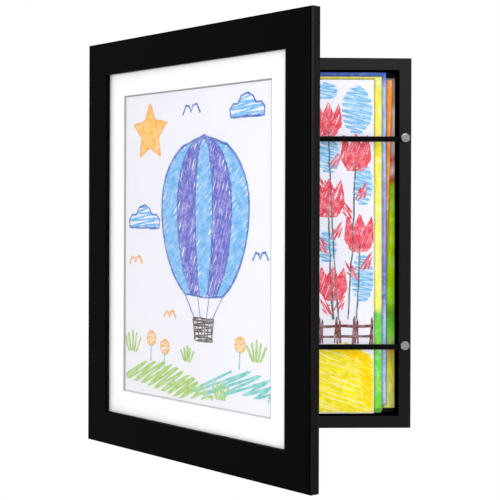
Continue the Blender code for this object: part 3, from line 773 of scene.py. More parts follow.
@dataclass(frozen=True)
class Rubber(Finish):
    """Soft black rubber with a dusty bloom."""

    dark: Colour
    dust: Colour

    def build(self, sheet: NodeSheet) -> None:
        """Wires the dust over the rubber.

        Args:
            sheet: The node sheet.
        """
        dust = sheet.noise(900, 4, 0.65)
        sheet.coat(
            colour=sheet.mix(sheet.remap(dust, 0.45, 0.75, 0, 0.7), self.dark, self.dust),
            rough=sheet.remap(dust, 0.3, 0.7, 0.65, 0.85),
            gloss=0.3,
        )
        sheet.bump(dust, 0.3, 0.05 * MM)


@dataclass(frozen=True)
class ClearSheet(Finish):
    """Clear acrylic: it lets the drawing through and mirrors a little more at a slant."""

    tint: Colour
    head_on: float = 0.03

    def build(self, sheet: NodeSheet) -> None:
        """Wires a mirror whose cover follows the acrylic's own reflectance, with faint smears.

        Args:
            sheet: The node sheet.
        """
        smear = sheet.noise(60, 3, 0.6)
        slant = sheet.math("POWER", sheet.add("ShaderNodeLayerWeight", output="Facing"), 5)
        sheet.coat(
            colour=sheet.mix(sheet.remap(smear, 0.3, 0.7), self.tint, grey(1)),
            rough=sheet.remap(smear, 0.4, 0.7, 0.02, 0.06),
            metal=1,
            cover=sheet.remap(slant, 0, 1, self.head_on, 1),
        )


DRAWING_PAPER = srgb(234, 233, 240)
STORED_PAPER = srgb(232, 232, 244)

FINISHES: dict[str, Finish] = {
    "door_black": DoorPaint("door_paint", grey(0.0012), grey(0.0021), 0.5, 0.013),
    "box_black": BoxPaint("box_paint", (0.005, 0.005, 0.0052), (0.007, 0.007, 0.0072), 0.4, 0.077),
    "panel_black": FibreBoard("black_hardboard", grey(0.004), (0.012, 0.011, 0.01)),
    "clear_sheet": ClearSheet("clear_acrylic", (0.97, 0.99, 1.0)),
    "mat_white": MatBoard("mat_board", grey(0.95), grey(0.92), 900, 0.02 * MM),
    "paper_white": ShadowLinedPaper("drawing_paper", DRAWING_PAPER, srgb(231, 230, 238)),
    "board_brown": FibreBoard("brown_hardboard", (0.09, 0.045, 0.02), (0.24, 0.14, 0.07)),
    "hinge_steel": Metal("blackened_steel", (0.1, 0.1, 0.105), (0.05, 0.05, 0.052), 0.38),
    "screw_steel": Metal("zinc_screws", (0.55, 0.55, 0.56), (0.38, 0.38, 0.4), 0.3),
    "button_steel": Metal("zinc_buttons", grey(0.58), (0.42, 0.42, 0.43), 0.34),
    "stud_steel": Metal("plated_studs", grey(0.3), grey(0.23), 0.2),
    "magnet_nickel": Metal("nickel_magnets", (0.66, 0.64, 0.6), (0.5, 0.48, 0.45), 0.16),
    "band_black": Elastic("woven_elastic", (0.001, 0.001, 0.0012), (0.008, 0.008, 0.009)),
    "hanger_steel": Metal("yellow_steel", (0.62, 0.5, 0.24), (0.42, 0.33, 0.15), 0.32),
    "bumper_rubber": Rubber("moulded_rubber", grey(0.012), grey(0.05)),
    "stack_lavender": Paper("lavender_paper", STORED_PAPER, srgb(226, 227, 240)),
    "stack_yellow": Wash(
        "yellow_and_green_wash",
        1,
        (
            (0.0, 234, 226, 120), (0.06, 236, 226, 100), (0.22, 242, 226, 70),
            (0.36, 240, 230, 110), (0.55, 244, 236, 140), (0.67, 240, 238, 120),
            (0.69, 72, 190, 70), (0.74, 100, 210, 90), (0.84, 84, 214, 84), (0.92, 96, 208, 66),
            (1.0, 110, 210, 84),
        ),
        srgb(190, 196, 40),
        wander=0.03,
    ),
    "stack_blue": Wash(
        "blue_wash",
        2,
        (
            (0.0, 104, 146, 255), (0.055, 110, 152, 255), (0.075, 170, 208, 250),
            (0.25, 184, 216, 252), (0.34, 150, 172, 240), (0.46, 160, 176, 244),
            (0.57, 120, 138, 226), (0.66, 86, 104, 212), (0.68, 164, 192, 250),
            (0.86, 182, 212, 250), (1.0, 186, 206, 238),
        ),
        srgb(72, 100, 220),
    ),
    "stack_orange": Wash(
        "orange_wash",
        3,
        ((0.0, 255, 150, 50), (0.35, 255, 166, 66), (0.6, 222, 120, 50), (1.0, 240, 150, 60)),
        srgb(226, 104, 20),
        wander=0.05,
    ),
    "stack_pink": Wash(
        "garden_wash",
        4,
        (
            (0.0, 232, 212, 214), (0.07, 226, 200, 196), (0.12, 206, 172, 146),
            (0.14, 248, 244, 236), (0.20, 244, 190, 200), (0.24, 236, 208, 210),
            (0.27, 200, 60, 72), (0.30, 244, 226, 220), (0.325, 176, 40, 50), (0.335, 148, 196, 10),
            (0.44, 176, 222, 4), (0.66, 150, 212, 0), (0.69, 70, 160, 20), (0.72, 96, 190, 40),
            (0.75, 132, 212, 76), (0.775, 160, 200, 110), (0.785, 196, 84, 24),
            (0.80, 206, 176, 60), (0.84, 212, 214, 52), (1.0, 236, 234, 140),
        ),
        srgb(120, 130, 20),
        (0.95, 0.93, 0.92),
        0.1,
    ),
}


def deselect() -> None:
    """Leaves object mode's selection empty."""
    bpy.ops.object.select_all(action="DESELECT")


def pick(obj: bpy.types.Object) -> None:
    """Selects one object alone and makes it active.

    Args:
        obj: The object.
    """
    deselect()
    obj.select_set(True)
    bpy.context.view_layer.objects.active = obj


def apply_modifier(obj: bpy.types.Object, kind: str, **settings: object) -> None:
    """Adds a modifier and applies it at once.

    Args:
        obj: The object to change.
        kind: The modifier's type.
        settings: Values of the modifier's properties.
    """
    pick(obj)
    step = obj.modifiers.new(kind.lower(), kind)
    for name, value in settings.items():
        setattr(step, name, value)
    bpy.ops.object.modifier_apply(modifier=step.name)


def block(name: str, half: Vector) -> bpy.types.Object:
    """A box round the origin, as a start for a piece.

    Args:
        name: The piece's name.
        half: Half its size.

    Returns:
        The box, its size in its mesh.
    """
    deselect()
    bpy.ops.mesh.primitive_cube_add(size=2)
    made = bpy.context.active_object
    made.name = made.data.name = name
    made.scale = half
    pick(made)
    bpy.ops.object.transform_apply(location=True, rotation=True, scale=True)
    return made


def drawn(name: str, lines: list[list[Place]], **settings: object) -> bpy.types.Object:
    """A mesh made from lines that are drawn as one curve.

    Args:
        name: The piece's name.
        lines: Each line's points, with X, Y and radius.
        settings: Values of the curve's properties.

    Returns:
        The mesh.
    """
    curve = bpy.data.curves.new(name, "CURVE")
    curve.dimensions = "3D"
    for key, value in settings.items():
        setattr(curve, key, value)
    for line in lines:
        spline = curve.splines.new("POLY")
        spline.points.add(len(line) - 1)
        for point, (x, y, radius) in zip(spline.points, line):
            point.co = (x, y, 0, 1)
            point.radius = radius
    made = bpy.data.objects.new(name, curve)
    bpy.context.scene.collection.objects.link(made)
    pick(made)
    bpy.ops.object.convert(target="MESH")
    made.data.name = name
    return made


def join(name: str, parts: list[bpy.types.Object]) -> bpy.types.Object:
    """Joins objects into one piece.

    Args:
        name: The piece's name.
        parts: The objects, which are used up.

    Returns:
        The piece.
    """
    pick(parts[0])
    for part in parts:
        part.select_set(True)
    bpy.ops.object.join()
    made = bpy.context.active_object
    made.name = made.data.name = name
    return made


def seat(obj: bpy.types.Object, body: Body, slot: str, finish: Finish | None = None) -> None:
    """Finishes a piece: its material, from its slot unless a finish is given, and the body it rides
    on.

    Args:
        obj: The piece, its place in its mesh.
        body: The body that carries it.
        slot: The record's material slot.
        finish: Its finish, if it isn't the slot's own.
    """
    (finish or FINISHES[slot]).dress(obj)
    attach(obj, body.value)
    log.info("%s: %d faces on %s", obj.name, len(obj.data.polygons), body.value)


def wavy(points: list[Point], rng: random.Random, wander: float, step: float = 9.0) -> list[Point]:
    """A line as a child's hand draws it.

    Args:
        points: The line's corners, in millimetres.
        rng: The source of chance, seeded.
        wander: How far the hand strays.
        step: The distance between points.

    Returns:
        The line's points.
    """
    line: list[Point] = []
    for (x0, y0), (x1, y1) in zip(points, points[1:]):
        count = max(1, round(math.hypot(x1 - x0, y1 - y0) / step))
        for i in range(count):
            share = i / count
            stray = wander if i else wander / 2
            x = x0 + (x1 - x0) * share + rng.uniform(-stray, stray)
            line.append((x, y0 + (y1 - y0) * share + rng.uniform(-stray, stray)))
    line.append(points[-1])
    return line


def oval(x: float, y: float, rx: float, ry: float, count: int = 12) -> list[Point]:
    """The corners of an oval round a middle."""
    angles = [math.tau * i / count for i in range(count)]
    return [(x + rx * math.cos(angle), y + ry * math.sin(angle)) for angle in angles]


def star(x: float, y: float, outer: float, inner: float, arms: int = 5) -> list[Point]:
    """A star.

    Args:
        x: Its middle, to the right.
        y: Its middle, up.
        outer: The reach of its tips.
        inner: The reach of the corners between them.
        arms: The number of its arms.

    Returns:
        Its corners.
    """
    corners = []
    for i in range(2 * arms):
        reach = inner if i % 2 else outer
        angle = math.pi / 2 + math.pi * i / arms
        corners.append((x + reach * math.cos(angle), y + reach * math.sin(angle)))
    return corners


def scaled(x: float, y: float, size: float, shape: list[Point]) -> list[Point]:
    """A shape moved to a middle and scaled."""
    return [(x + size * px, y + size * py) for px, py in shape]


def crayons(paper: Colour, bare: float = 0.42, **waxes: tuple[int, int, int]) -> dict[str, Crayon]:
    """Crayons of screen colours on a paper, of which more shows through where bare is higher."""
    return {name: Crayon(f"{name}_crayon", srgb(*wax), paper, bare) for name, wax in waxes.items()}


@dataclass(frozen=True)
class Stroke:
    """One pull of a crayon: its points in millimetres on the page, and its half width."""

    points: list[Point]
    half_width: float

    def pressed(self, rng: random.Random) -> list[Place]:
        """Its points in metres, each with a width that follows the hand's pressure."""
        return [(x * MM, y * MM, self.half_width * rng.uniform(0.75, 1.15)) for x, y in self.points]


@dataclass
class Sketch:
    """A crayon drawing on a page, one piece for each crayon. Lengths are in millimetres."""

    name: str
    page: Page
    body: Body
    slot: str
    seed: int
    low: Point
    high: Point
    flat: float = 0.05
    first_lift: float = 0.02
    layer_lift: float = 0.03
    overshoot: float = 0.9
    wobble: float = 0.25
    tilt: float = 0.3
    palette: dict[str, Crayon] = field(default_factory=dict)
    strokes: dict[str, list[Stroke]] = field(default_factory=dict)

    def __post_init__(self) -> None:
        """Seeds the hand."""
        self.rng = random.Random(self.seed)

    def draw(self) -> None:
        """Draws the picture."""
        raise NotImplementedError

    def build(self) -> None:
        """Draws, then makes flat tubes along the strokes, each crayon above the one before."""
        self.draw()
        tube = {"twist_mode": "Z_UP", "bevel_depth": MM, "bevel_resolution": 0}
        for layer, (wax, strokes) in enumerate(self.strokes.items()):
            crayon = self.palette[wax]
            lines = [stroke.pressed(self.rng) for stroke in strokes]
            piece = drawn(f"{self.name}_{crayon.name}", lines, use_fill_caps=True, **tube)
            bpy.ops.object.shade_flat()
            place = self.page.matrix((self.first_lift + self.layer_lift * layer) * MM)
            piece.data.transform(place @ Matrix.Diagonal((1, 1, self.flat, 1)))
            seat(piece, self.body, self.slot, crayon)

    def line(
        self, wax: str, points: list[Point], half_width: float = 0.8, wander: float = 0.4
    ) -> None:
        """Draws a line of a half width through corners, from which the hand may wander."""
        kept = [self.kept(point) for point in wavy(points, self.rng, wander)]
        self.strokes.setdefault(wax, []).append(Stroke(kept, half_width))

    def kept(self, point: Point) -> Point:
        """A point, moved onto the paper if the hand went past its edge."""
        return tuple(min(max(at, low), high) for at, low, high in zip(point, self.low, self.high))

    def outline(self, wax: str, points: list[Point], half_width: float = 0.8) -> None:
        """Draws round a shape and closes it."""
        self.line(wax, [*points, points[0]], half_width)

    def scribble(
        self, wax: str, shape: list[Point], angles: list[float], spacing: float, half_width: float
    ) -> None:
        """Fills a shape with zigzags.

        Args:
            wax: The crayon.
            shape: The shape's corners.
            angles: Each zigzag's direction, in degrees.
            spacing: The distance between strokes.
            half_width: Half a stroke's width.
        """
        for angle in angles:
            turn = math.radians(angle)
            c, s = math.cos(turn), math.sin(turn)
            for chain in self.zigzag([(x * c + y * s, y * c - x * s) for x, y in shape], spacing):
                back = [(x * c - y * s, x * s + y * c) for x, y in chain]
                self.line(wax, back, half_width, self.wobble)

    def zigzag(self, shape: list[Point], spacing: float) -> list[list[Point]]:
        """Level strokes to and fro over a shape, from its bottom to its top.

        Args:
            shape: The shape's corners.
            spacing: The distance between strokes.

        Returns:
            The corners of each unbroken zigzag.
        """
        chains: list[list[Point]] = []
        finished: list[list[Point]] = []
        height = min(y for _, y in shape) + spacing * 0.6
        forward = True
        while height < max(y for _, y in shape):
            spans = self.spans(shape, height)
            if len(spans) != len(chains):
                finished += chains
                chains = [[] for _ in spans]
            for chain, (left, right) in zip(chains, spans):
                ends = (left, right) if forward else (right, left)
                for x, tilt in zip(ends, (-self.tilt, self.tilt)):
                    x += self.rng.uniform(-self.overshoot, self.overshoot)
                    y = height + tilt * spacing
                    chain.append((x, y + self.rng.uniform(-self.wobble, self.wobble)))
            height += spacing * self.rng.uniform(0.8, 1.2)
            forward = not forward
        return finished + chains

    @staticmethod
    def spans(shape: list[Point], height: float) -> list[tuple[float, float]]:
        """Where a level line lies inside a shape.

        Args:
            shape: The shape's corners.
            height: The line's height.

        Returns:
            The left and right end of each stretch.
        """
        crossings = []
        for (x0, y0), (x1, y1) in zip(shape, shape[1:] + shape[:1]):
            if (y0 > height) != (y1 > height):
                crossings.append(x0 + (x1 - x0) * (height - y0) / (y1 - y0))
        crossings.sort()
        return list(zip(crossings[::2], crossings[1::2]))


@dataclass
class BalloonDrawing(Sketch):
    """The drawing behind the mat: a balloon over a meadow, with a star and clouds."""

    name: str = "display"
    page: Page = DISPLAY_FACE
    body: Body = Body.DOOR
    slot: str = "paper_white"
    seed: int = 7
    low: Point = (-100.5, -133.0)
    high: Point = (100.5, 133.0)
    balloon: Point = (14.0, 34.0)
    radius: float = 60.0
    neck_share: float = 1.26
    lower_share: float = 1.4
    seams: tuple[float, ...] = (-1.0, -0.62, -0.2, 0.2, 0.62, 1.0)

    def half_width(self, y: float) -> float:
        """The balloon's half width at a height from its middle, below which it narrows slower."""
        reach = self.radius * (1.0 if y > 0 else self.lower_share)
        return self.radius * math.sqrt(max(0.0, 1 - (y / reach) ** 2))

    def gore(self, start: float, end: float) -> list[Point]:
        """One panel of the balloon between two shares of its half width.

        Args:
            start: The left edge's share, -1 to 1.
            end: The right edge's share.

        Returns:
            The panel's corners.
        """
        x, y = self.balloon
        low, high = -self.neck_share * self.radius, self.radius
        heights = [low + (high - low) * i / 16 for i in range(17)]
        left = [(x + start * self.half_width(h), y + h) for h in heights]
        right = [(x + end * self.half_width(h), y + h) for h in reversed(heights)]
        return left + right

    def draw(self) -> None:
        """Draws the balloon, the star, the clouds, the birds and the meadow."""
        self.palette = crayons(
            DRAWING_PAPER,
            sky=(92, 184, 244),
            violet=(70, 74, 206),
            blue=(20, 96, 190),
            yellow=(255, 192, 32),
            orange=(248, 168, 52),
            dark_brown=(62, 42, 40),
            grass=(164, 208, 76),
            teal=(104, 204, 196),
        )
        deep = {"deep_sky": (52, 146, 226), "deep_violet": (46, 46, 176)}
        self.palette |= crayons(DRAWING_PAPER, 0.5, **deep)
        panels = list(zip(self.seams, self.seams[1:]))
        for first, wax, angles, spacing, half_width in (
            (0, "sky", [52, 38], 2.2, 1.1),
            (1, "violet", [64, 78], 2.3, 1.05),
            (0, "deep_sky", [46], 4.6, 0.5),
            (1, "deep_violet", [70], 4.0, 0.5),
        ):
            for start, end in panels[first::2]:
                self.scribble(wax, self.gore(start, end), angles, spacing, half_width)
        for share in self.seams:
            edge = self.gore(share, share)
            self.line("blue", edge[: len(edge) // 2], 1.15, 0.35)
        self.basket()
        spark = star(-64, 100, 26, 13)
        self.scribble("yellow", spark, [12, -20], 1.8, 1.15)
        self.outline("orange", spark, 1.1)
        bumps = [(-26, -8), (-27, 0), (-22, 5), (-15, 5), (-10, 12), (0, 15)]
        bumps += [(8, 11), (12, 5), (20, 5), (25, 0), (24, -8)]
        for cloud in (scaled(-72, 22, 0.9, bumps), scaled(72, 114, 0.85, bumps)):
            self.scribble("sky", cloud, [6], 2.8, 1.0)
            self.outline("blue", cloud, 1.0)
        wings = [(-12, -3), (-7, 5), (-2, 4), (0, -1), (3, 5), (8, 6), (13, -2)]
        for x, y, size, wax in (
            (-4, 116, 1.0, "blue"), (-86, -16, 0.8, "orange"),
            (88, -8, 0.8, "blue"), (-34, -62, 0.7, "orange"),
        ):
            self.line(wax, scaled(x, y, size, wings), 1.1, 0.3)
        self.meadow()

    def basket(self) -> None:
        """Draws the balloon's neck, the ropes and the basket."""
        x, y = self.balloon
        low = y - self.neck_share * self.radius
        neck = self.half_width(-self.neck_share * self.radius)
        self.line("blue", [(x - neck, low), (x, low - 2), (x + neck, low)], 0.95)
        for side in (-1, 1):
            self.line("blue", [(x + side * neck, low), (x + side * 12, low - 20)], 0.6)
            self.line("blue", [(x + side * neck * 0.3, low - 2), (x + side * 4, low - 20)], 0.5)
        basket = [(x - 14, low - 20), (x + 14, low - 20), (x + 11, low - 39), (x - 11, low - 39)]
        self.scribble("dark_brown", basket, [4], 2.3, 0.8)
        self.scribble("dark_brown", basket, [88], 4.2, 0.7)
        self.outline("dark_brown", basket, 0.9)

    def meadow(self) -> None:
        """Draws the ground: two scribbled slopes, tufts and flowers."""
        far = [(-6, -124), (30, -108), (70, -100), (104, -106), (104, -122), (60, -120), (30, -126)]
        near = [(-104, -122), (-74, -106), (-38, -104), (0, -114), (30, -128), (-20, -132)]
        self.scribble("teal", far, [20], 3.4, 1.15)
        self.scribble("grass", [*near, (-60, -126)], [28], 2.8, 1.2)
        for x, y, size in ((-90, -98, 20), (84, -92, 18), (38, -128, 16), (-8, -100, 14)):
            for lean in (-0.7, -0.35, 0.0, 0.3, 0.65):
                tip = (x + size * lean, y + size * (1 - 0.45 * abs(lean)))
                self.line("grass", [(x + 0.4 * size * lean, y), tip], 1.15, 0.3)
        for x, y in ((-62, -84), (-42, -90), (62, -80)):
            self.line("teal", [(x, y - 20), (x + 1, y - 5)], 0.75)
            self.scribble("yellow", oval(x + 1, y, 6, 6), [20], 1.9, 1.0)
            self.outline("orange", oval(x + 1, y, 6.5, 6.5), 0.7)


@dataclass
class TulipDrawing(Sketch):
    """The first stored sheet: red tulips and a fence over a yellow field, under a blue sky."""

    name: str = "stored"
    page: Page = STACK_FACE
    body: Body = Body.BOX
    slot: str = "stack_lavender"
    seed: int = 11
    low: Point = (-131.5, -163.0)
    high: Point = (110.5, 154.0)
    foot: float = -74.0

    def draw(self) -> None:
        """Draws the sky in ovals, then the field and the tulips."""
        self.palette = crayons(
            STORED_PAPER,
            pale_blue=(176, 216, 244),
            light_blue=(104, 182, 234),
            red=(234, 62, 82),
            dark_stem=(62, 84, 88),
            brown=(112, 56, 50),
        )
        butter = (247, 237, 138)
        self.palette |= crayons(STORED_PAPER, 0.3, butter=butter, gold=(254, 210, 8))
        self.palette |= crayons(STORED_PAPER, 0.4, straw=(250, 240, 130))
        self.palette |= crayons(srgb(*butter), 0.36, bright_yellow=(246, 228, 34))
        for x, y, width, height, lean in (
            (95, 128, 28, 46, -12), (66, 146, 20, 16, -8), (101, 56, 18, 40, -14),
            (68, 84, 20, 34, -16), (101, -34, 20, 46, -10), (66, -4, 18, 30, -14),
            (30, 128, 26, 30, -8), (-20, 140, 40, 18, -6), (-84, 120, 40, 34, -10),
            (-104, 40, 20, 60, -12), (24, 20, 16, 50, -12),
        ):
            patch = oval(x, y, width / 2, height / 2, 14)
            self.scribble("pale_blue", patch, [lean - 4], 2.2, 1.3)
            self.scribble("light_blue", patch, [lean], 2.5, 1.05)
        self.field_and_fence()
        for x, y, size, lean in (
            (94, 86, 1.45, -0.05), (67, 118, 1.3, 0.06), (68, 42, 1.5, 0.04), (98, 8, 1.45, -0.04),
            (72, -40, 1.35, 0.06), (40, 66, 1.4, -0.1), (8, 84, 1.3, 0.1), (-30, 50, 1.5, -0.05),
            (-66, 76, 1.3, 0.1), (-96, 8, 1.4, -0.1), (-52, -10, 1.3, 0.08), (-8, -4, 1.4, 0.0),
            (36, -20, 1.2, 0.1),
        ):
            self.tulip(x, y, size, lean)

    def field_and_fence(self) -> None:
        """Draws the yellow field with its golden edge, and the fence behind it."""
        edge = [(-135, -104), (-90, -98), (-40, -103), (10, -97), (60, -101), (86, -97)]
        ground = [*edge, (100, -104), (111, -112), (111, -163), (-134, -163)]
        self.scribble("butter", ground, [-14, -27], 2.0, 1.35)
        self.scribble("bright_yellow", ground, [-16], 2.3, 1.3)
        self.scribble("bright_yellow", ground, [-24], 3.1, 1.2)
        self.scribble("straw", ground, [-20], 7.5, 0.75)
        ridge = [(62, -101), (86, -98), (111, -113), (111, -122), (84, -106)]
        corner = [(98, -120), (111, -124), (111, -158), (104, -156)]
        for strip in (ridge, corner):
            self.scribble("gold", strip, [-38], 2.0, 1.1)
        for x in range(-130, 110, 17):
            pale = [(x, -97), (x + 6, -97), (x + 6, -76), (x + 3, -71), (x, -76)]
            self.scribble("brown", pale, [88], 1.5, 0.95)
        for y in (-80, -90):
            self.line("brown", [(-133, y), (-40, y + 1), (30, y - 1), (110, y)], 1.3)

    def tulip(self, x: float, y: float, size: float, lean: float) -> None:
        """Draws one tulip.

        Args:
            x: The flower's middle, to the right.
            y: The flower's middle, up.
            size: 1 for a flower 20 mm wide.
            lean: How far the stem leans for each millimetre down.
        """
        cup = [(-8, 12), (-10, -3), (-5, -11), (5, -11), (10, -3)]
        petals = scaled(x, y, size, cup + [(8, 12), (4, 4), (0, 13), (-4, 4)])
        self.scribble("red", petals, [78, 66], 2.4, 1.05)
        self.outline("red", petals, 0.8)
        drop = y - 11 * size
        fall = drop - self.foot
        bend = (x + lean * fall * 0.4, (drop + self.foot) / 2)
        self.line("dark_stem", [(x, drop + 8), bend, (x + lean * fall, self.foot)], 0.7, 0.5)
        for side, share in ((1, 0.25), (-1, 0.5)):
            root_x, root_y = x + (bend[0] - x) * share, drop + (bend[1] - drop) * share - 8 * size
            leaf = [(0, 0), (7 * side, 3), (9 * side, 13), (3 * side, 8)]
            self.scribble("red", scaled(root_x, root_y, size, leaf), [60 * side], 1.8, 0.8)


@dataclass
class StoredSheets:
    """The stack in the box: bundles of single sheets, a little out of line."""

    sheets: int = 9
    half_share: float = 0.45
    stray: float = 0.5 * MM
    seed: int = 21

    def build(self) -> None:
        """Builds each bundle's sheets."""
        rng = random.Random(self.seed)
        for bundle in BUNDLES:
            self.bundle(bundle, rng)

    def bundle(self, bundle: Bundle, rng: random.Random) -> None:
        """Replaces a bundle's solid by two painted sheets on top and the plain sheets under them.

        Args:
            bundle: The bundle.
            rng: The source of chance, seeded.
        """
        low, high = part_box(bundle.node)
        pitch = (high.y - low.y) / self.sheets
        half_width, half_height = bundle.half_size()
        turn = Matrix.Rotation(math.radians(bundle.degrees), 4, "Y")
        made = []
        for i in range(self.sheets):
            sheet = block("sheet", Vector((half_width, self.half_share * pitch, half_height)))
            slide = Vector()
            if i:
                slide = Vector((rng.uniform(-1, 0), 0, rng.uniform(-1, 0))) * self.stray
            if i == 1:
                slide.z -= bundle.slip
            middle = (low + high) / 2
            middle.y = low.y + (i + self.half_share) * pitch
            sheet.data.transform(Matrix.Translation(middle + slide) @ turn)
            made.append(sheet)
        seat(join(f"{bundle.node}_top_sheets", made[:2]), Body.BOX, bundle.slot)
        rest = join(f"{bundle.node}_sheets", made[2:])
        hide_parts(bundle.node)
        seat(rest, Body.BOX, bundle.slot, FINISHES["paper_white"])


@dataclass
class DrivenScrews:
    """The screws' cross recesses, cut in copies of the plain screws."""

    slot_length: float = 2.5 * MM
    slot_width: float = 0.5 * MM
    slot_depth: float = 0.9 * MM
    first_turn: float = 0.3
    smooth_deg: float = 35.0

    def build(self) -> None:
        """Cuts a recess in each screw's head."""
        for node in sorted(frame["nodes"]):
            if "screw" in node:
                self.drive(node)

    def drive(self, node: str) -> None:
        """Replaces a plain screw by one with a cross recess.

        Args:
            node: The screw's node.
        """
        on_box = "box" in node
        to_row = Matrix.Identity(4) if on_box else DOOR.matrix()
        out = -1.0 if on_box else 1.0
        screw = self.copy(node)
        local = [to_row.inverted() @ vertex.co for vertex in screw.data.vertices]
        top = max(point.y * out for point in local) * out
        across = [(min(p[i] for p in local) + max(p[i] for p in local)) / 2 for i in (0, 2)]
        for turn in (self.first_turn, self.first_turn + math.pi / 2):
            reach = Vector((self.slot_length, 2 * self.slot_depth, self.slot_width)) / 2
            cutter = block("recess", reach)
            place = Matrix.Translation((across[0], top, across[1])) @ Matrix.Rotation(turn, 4, "Y")
            cutter.data.transform(to_row @ place)
            cut = {"operation": "DIFFERENCE", "solver": "EXACT", "object": cutter}
            apply_modifier(screw, "BOOLEAN", **cut)
            bpy.data.objects.remove(cutter)
        pick(screw)
        bpy.ops.object.shade_smooth_by_angle(angle=math.radians(self.smooth_deg))
        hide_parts(node)
        seat(screw, Body.BOX if on_box else Body.DOOR, "screw_steel")

    @staticmethod
    def copy(node: str) -> bpy.types.Object:
        """A free copy of a node's solid, its loose triangles merged.

        Args:
            node: The node.

        Returns:
            The copy.
        """
        plain = frame["nodes"][node]
        made = plain.copy()
        made.data = plain.data.copy()
        bpy.context.scene.collection.objects.link(made)
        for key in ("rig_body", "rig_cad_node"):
            if key in made:
                del made[key]
        made.parent = None
        made.matrix_world = Matrix.Identity(4)
        made.name = made.data.name = f"{node}_driven"
        pick(made)
        bpy.ops.object.mode_set(mode="EDIT")
        bpy.ops.mesh.select_all(action="SELECT")
        bpy.ops.mesh.remove_doubles(threshold=0.01 * MM)
        bpy.ops.object.mode_set(mode="OBJECT")
        return made


@dataclass
class CornerNails:
    """V-shaped steel nails pressed across the mitres from the back."""

    leg: float = 3.2 * MM
    depth: float = 5.0 * MM
    gauge: float = 0.35 * MM
    proud: float = 0.05 * MM
    door_reach: tuple[float, ...] = (9.0 * MM, 19.0 * MM)
    box_reach: tuple[float, ...] = (6.0 * MM,)

    def build(self) -> None:
        """Presses the nails into the door's and the box's corners."""
        box_back = Page(Vector((0, BOX_HIGH.y, BOX_MIDDLE.z)), -RIM.right, UP, -RIM.out)
        door_half, box_half = (DOOR_HALF_WIDTH, DOOR_HALF_HEIGHT), (BOX_HALF_WIDTH, BOX_HALF_HEIGHT)
        self.corners(Body.DOOR, DOOR_BACK, door_half, self.door_reach)
        self.corners(Body.BOX, box_back, box_half, self.box_reach)

    def corners(self, body: Body, page: Page, half: Point, reaches: tuple[float, ...]) -> None:
        """Nails the four corners of one frame.

        Args:
            body: The body that the frame is on.
            page: The frame's back.
            half: Half its width and half its height.
            reaches: Each nail's distance from the outer corner, along both edges.
        """
        made = []
        for side in (-1, 1):
            for end in (-1, 1):
                for reach in reaches:
                    place = Vector((side * (half[0] - reach), end * (half[1] - reach), 0))
                    made.append(self.nail(page, place, math.atan2(-end, -side) - math.pi / 2))
        seat(join(f"{body.value}_corner_nails", made), body, "screw_steel")

    def nail(self, page: Page, place: Vector, turn: float) -> bpy.types.Object:
        """One nail: a strip bent to a V, its legs into the wood.

        Args:
            page: The surface that it is pressed into.
            place: Its middle on the page.
            turn: Its turn on the page.

        Returns:
            The nail.
        """
        bend = [(-1.0, 0.9), (-0.12, 0.02), (0.12, 0.02), (1.0, 0.9)]
        line = [(x * self.leg, y * self.leg, 1.0) for x, y in bend]
        made = drawn("corner_nail", [line], extrude=self.depth / 2)
        apply_modifier(made, "SOLIDIFY", thickness=self.gauge, offset=0.0)
        spot = Matrix.Translation(place) @ Matrix.Rotation(turn, 4, "Z")
        sink = Matrix.Translation((0, 0, self.proud - self.depth / 2))
        made.data.transform(page.matrix() @ spot @ sink)
        return made


@dataclass(frozen=True)
class Lamp:
    """A square soft lamp: its place, side in metres, watts, and whether glossy surfaces show it."""

    name: str
    place: Place
    size: float
    power: float
    mirrored: bool = True

    def build(self, aim: Vector) -> None:
        """Hangs the lamp and aims it.

        Args:
            aim: The point that it is aimed at.
        """
        data = bpy.data.lights.new(self.name, "AREA")
        data.shape = "SQUARE"
        data.size = self.size
        data.energy = self.power
        made = bpy.data.objects.new(self.name, data)
        bpy.context.scene.collection.objects.link(made)
        made.visible_glossy = self.mirrored
        made.location = self.place
        made.rotation_euler = (aim - Vector(self.place)).to_track_quat("-Z", "Y").to_euler()


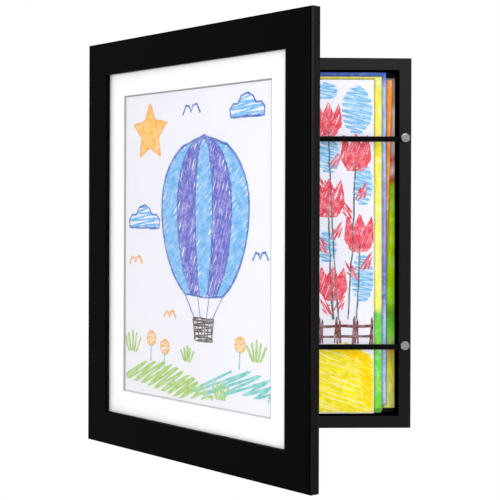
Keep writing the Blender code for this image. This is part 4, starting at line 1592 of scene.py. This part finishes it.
@dataclass
class Studio:
    """Light, floor and camera."""

    lens_mm: float = 89.976
    shift_y: float = -0.07334
    yaw_deg: float = 1.955
    roll_deg: float = 0.175
    camera_place: Place = (-0.048758, -1.224408, BOX_MIDDLE.z + 0.028097)
    aim: Place = (0.0, -0.1, -0.17)
    sensor_mm: float = 36.0
    ambient: float = 0.45
    floor_place: Place = (0, -0.15, -0.62)
    floor_radius: float = 1.3
    floor_fade: tuple[float, float] = (0.4, 0.8)
    lamps: tuple[Lamp, ...] = (
        Lamp("left_key", (-1.6, -1.1, 0.1), 1.2, 9.0),
        Lamp("front_fill", (0.1, -1.7, -0.2), 1.0, 14.0, mirrored=False),
        Lamp("front_top", (0.25, -1.3, 0.6), 0.6, 7.0),
        Lamp("rim_glint", (1.0, -0.8, 0.9), 0.16, 3.2),
    )

    def build(self) -> None:
        """Sets up the picture's light, floor and camera."""
        bpy.context.scene.view_settings.view_transform = "Standard"
        self.world()
        self.floor()
        self.camera()
        for lamp in self.lamps:
            lamp.build(Vector(self.aim))

    def world(self) -> None:
        """White for the camera, reflections and glass, and a soft even light for the rest."""
        world = bpy.data.worlds.new("studio")
        world.use_nodes = True
        bpy.context.scene.world = world
        nodes = Nodes(world.node_tree)
        path = world.node_tree.nodes.new("ShaderNodeLightPath").outputs
        seen = nodes.math("MAXIMUM", path["Is Camera Ray"], path["Is Glossy Ray"])
        seen = nodes.math("MAXIMUM", seen, path["Is Transmission Ray"])
        back = world.node_tree.nodes["Background"].inputs
        nodes.fill(back["Color"], grey(1))
        nodes.fill(back["Strength"], nodes.remap(seen, 0, 1, self.ambient))

    def floor(self) -> None:
        """A pale round floor that fades to white at its rim, out of the picture's view."""
        deselect()
        disc = {"vertices": 96, "fill_type": "NGON", "location": self.floor_place}
        bpy.ops.mesh.primitive_circle_add(radius=self.floor_radius, **disc)
        floor = bpy.context.active_object
        floor.name = "floor"
        sheet = NodeSheet("pale_floor")
        pale = sheet.mix(sheet.noise(3, 2), grey(0.8), grey(0.84))
        sheet.coat(colour=pale, rough=0.9, gloss=0.1)
        fade = sheet.remap(sheet.measure("LENGTH"), *self.floor_fade)
        shaders = sheet.shader.outputs["BSDF"], sheet.add("ShaderNodeEmission")
        faded = sheet.add("ShaderNodeMixShader", dict(enumerate((fade, *shaders))))
        sheet.fill(sheet.tree.nodes["Material Output"].inputs["Surface"], faded)
        floor.data.materials.append(sheet.material)

    def camera(self) -> None:
        """The camera at the photograph's place, level, with its frame shifted down."""
        data = bpy.data.cameras.new("camera")
        data.lens = self.lens_mm
        data.sensor_width = self.sensor_mm
        data.shift_y = self.shift_y
        camera = bpy.data.objects.new("camera", data)
        bpy.context.scene.collection.objects.link(camera)
        level = Matrix.Rotation(math.radians(90), 4, "X")
        yaw = Matrix.Rotation(-math.radians(self.yaw_deg), 4, "Z")
        roll = Matrix.Rotation(math.radians(self.roll_deg), 4, "Z")
        camera.matrix_world = Matrix.Translation(self.camera_place) @ yaw @ level @ roll
        bpy.context.scene.camera = camera


def dress_nodes() -> None:
    """Gives every carried-over node the finish of its slot in the record."""
    for row in frame["record"]["subparts"]:
        FINISHES[row["material_slot"]].dress(frame["nodes"][row["node"]])
        log.info("%s: %s", row["node"], row["material_slot"])


def main() -> None:
    """Builds the scene, one sub-assembly after another."""
    logging.basicConfig(level=logging.INFO, format="%(message)s")
    builders: tuple[Callable[[], None], ...] = (
        dress_nodes,
        StoredSheets().build,
        TulipDrawing().build,
        BalloonDrawing().build,
        DrivenScrews().build,
        CornerNails().build,
        Studio().build,
    )
    for build in builders:
        build()


if __name__ == "__main__":
    main()
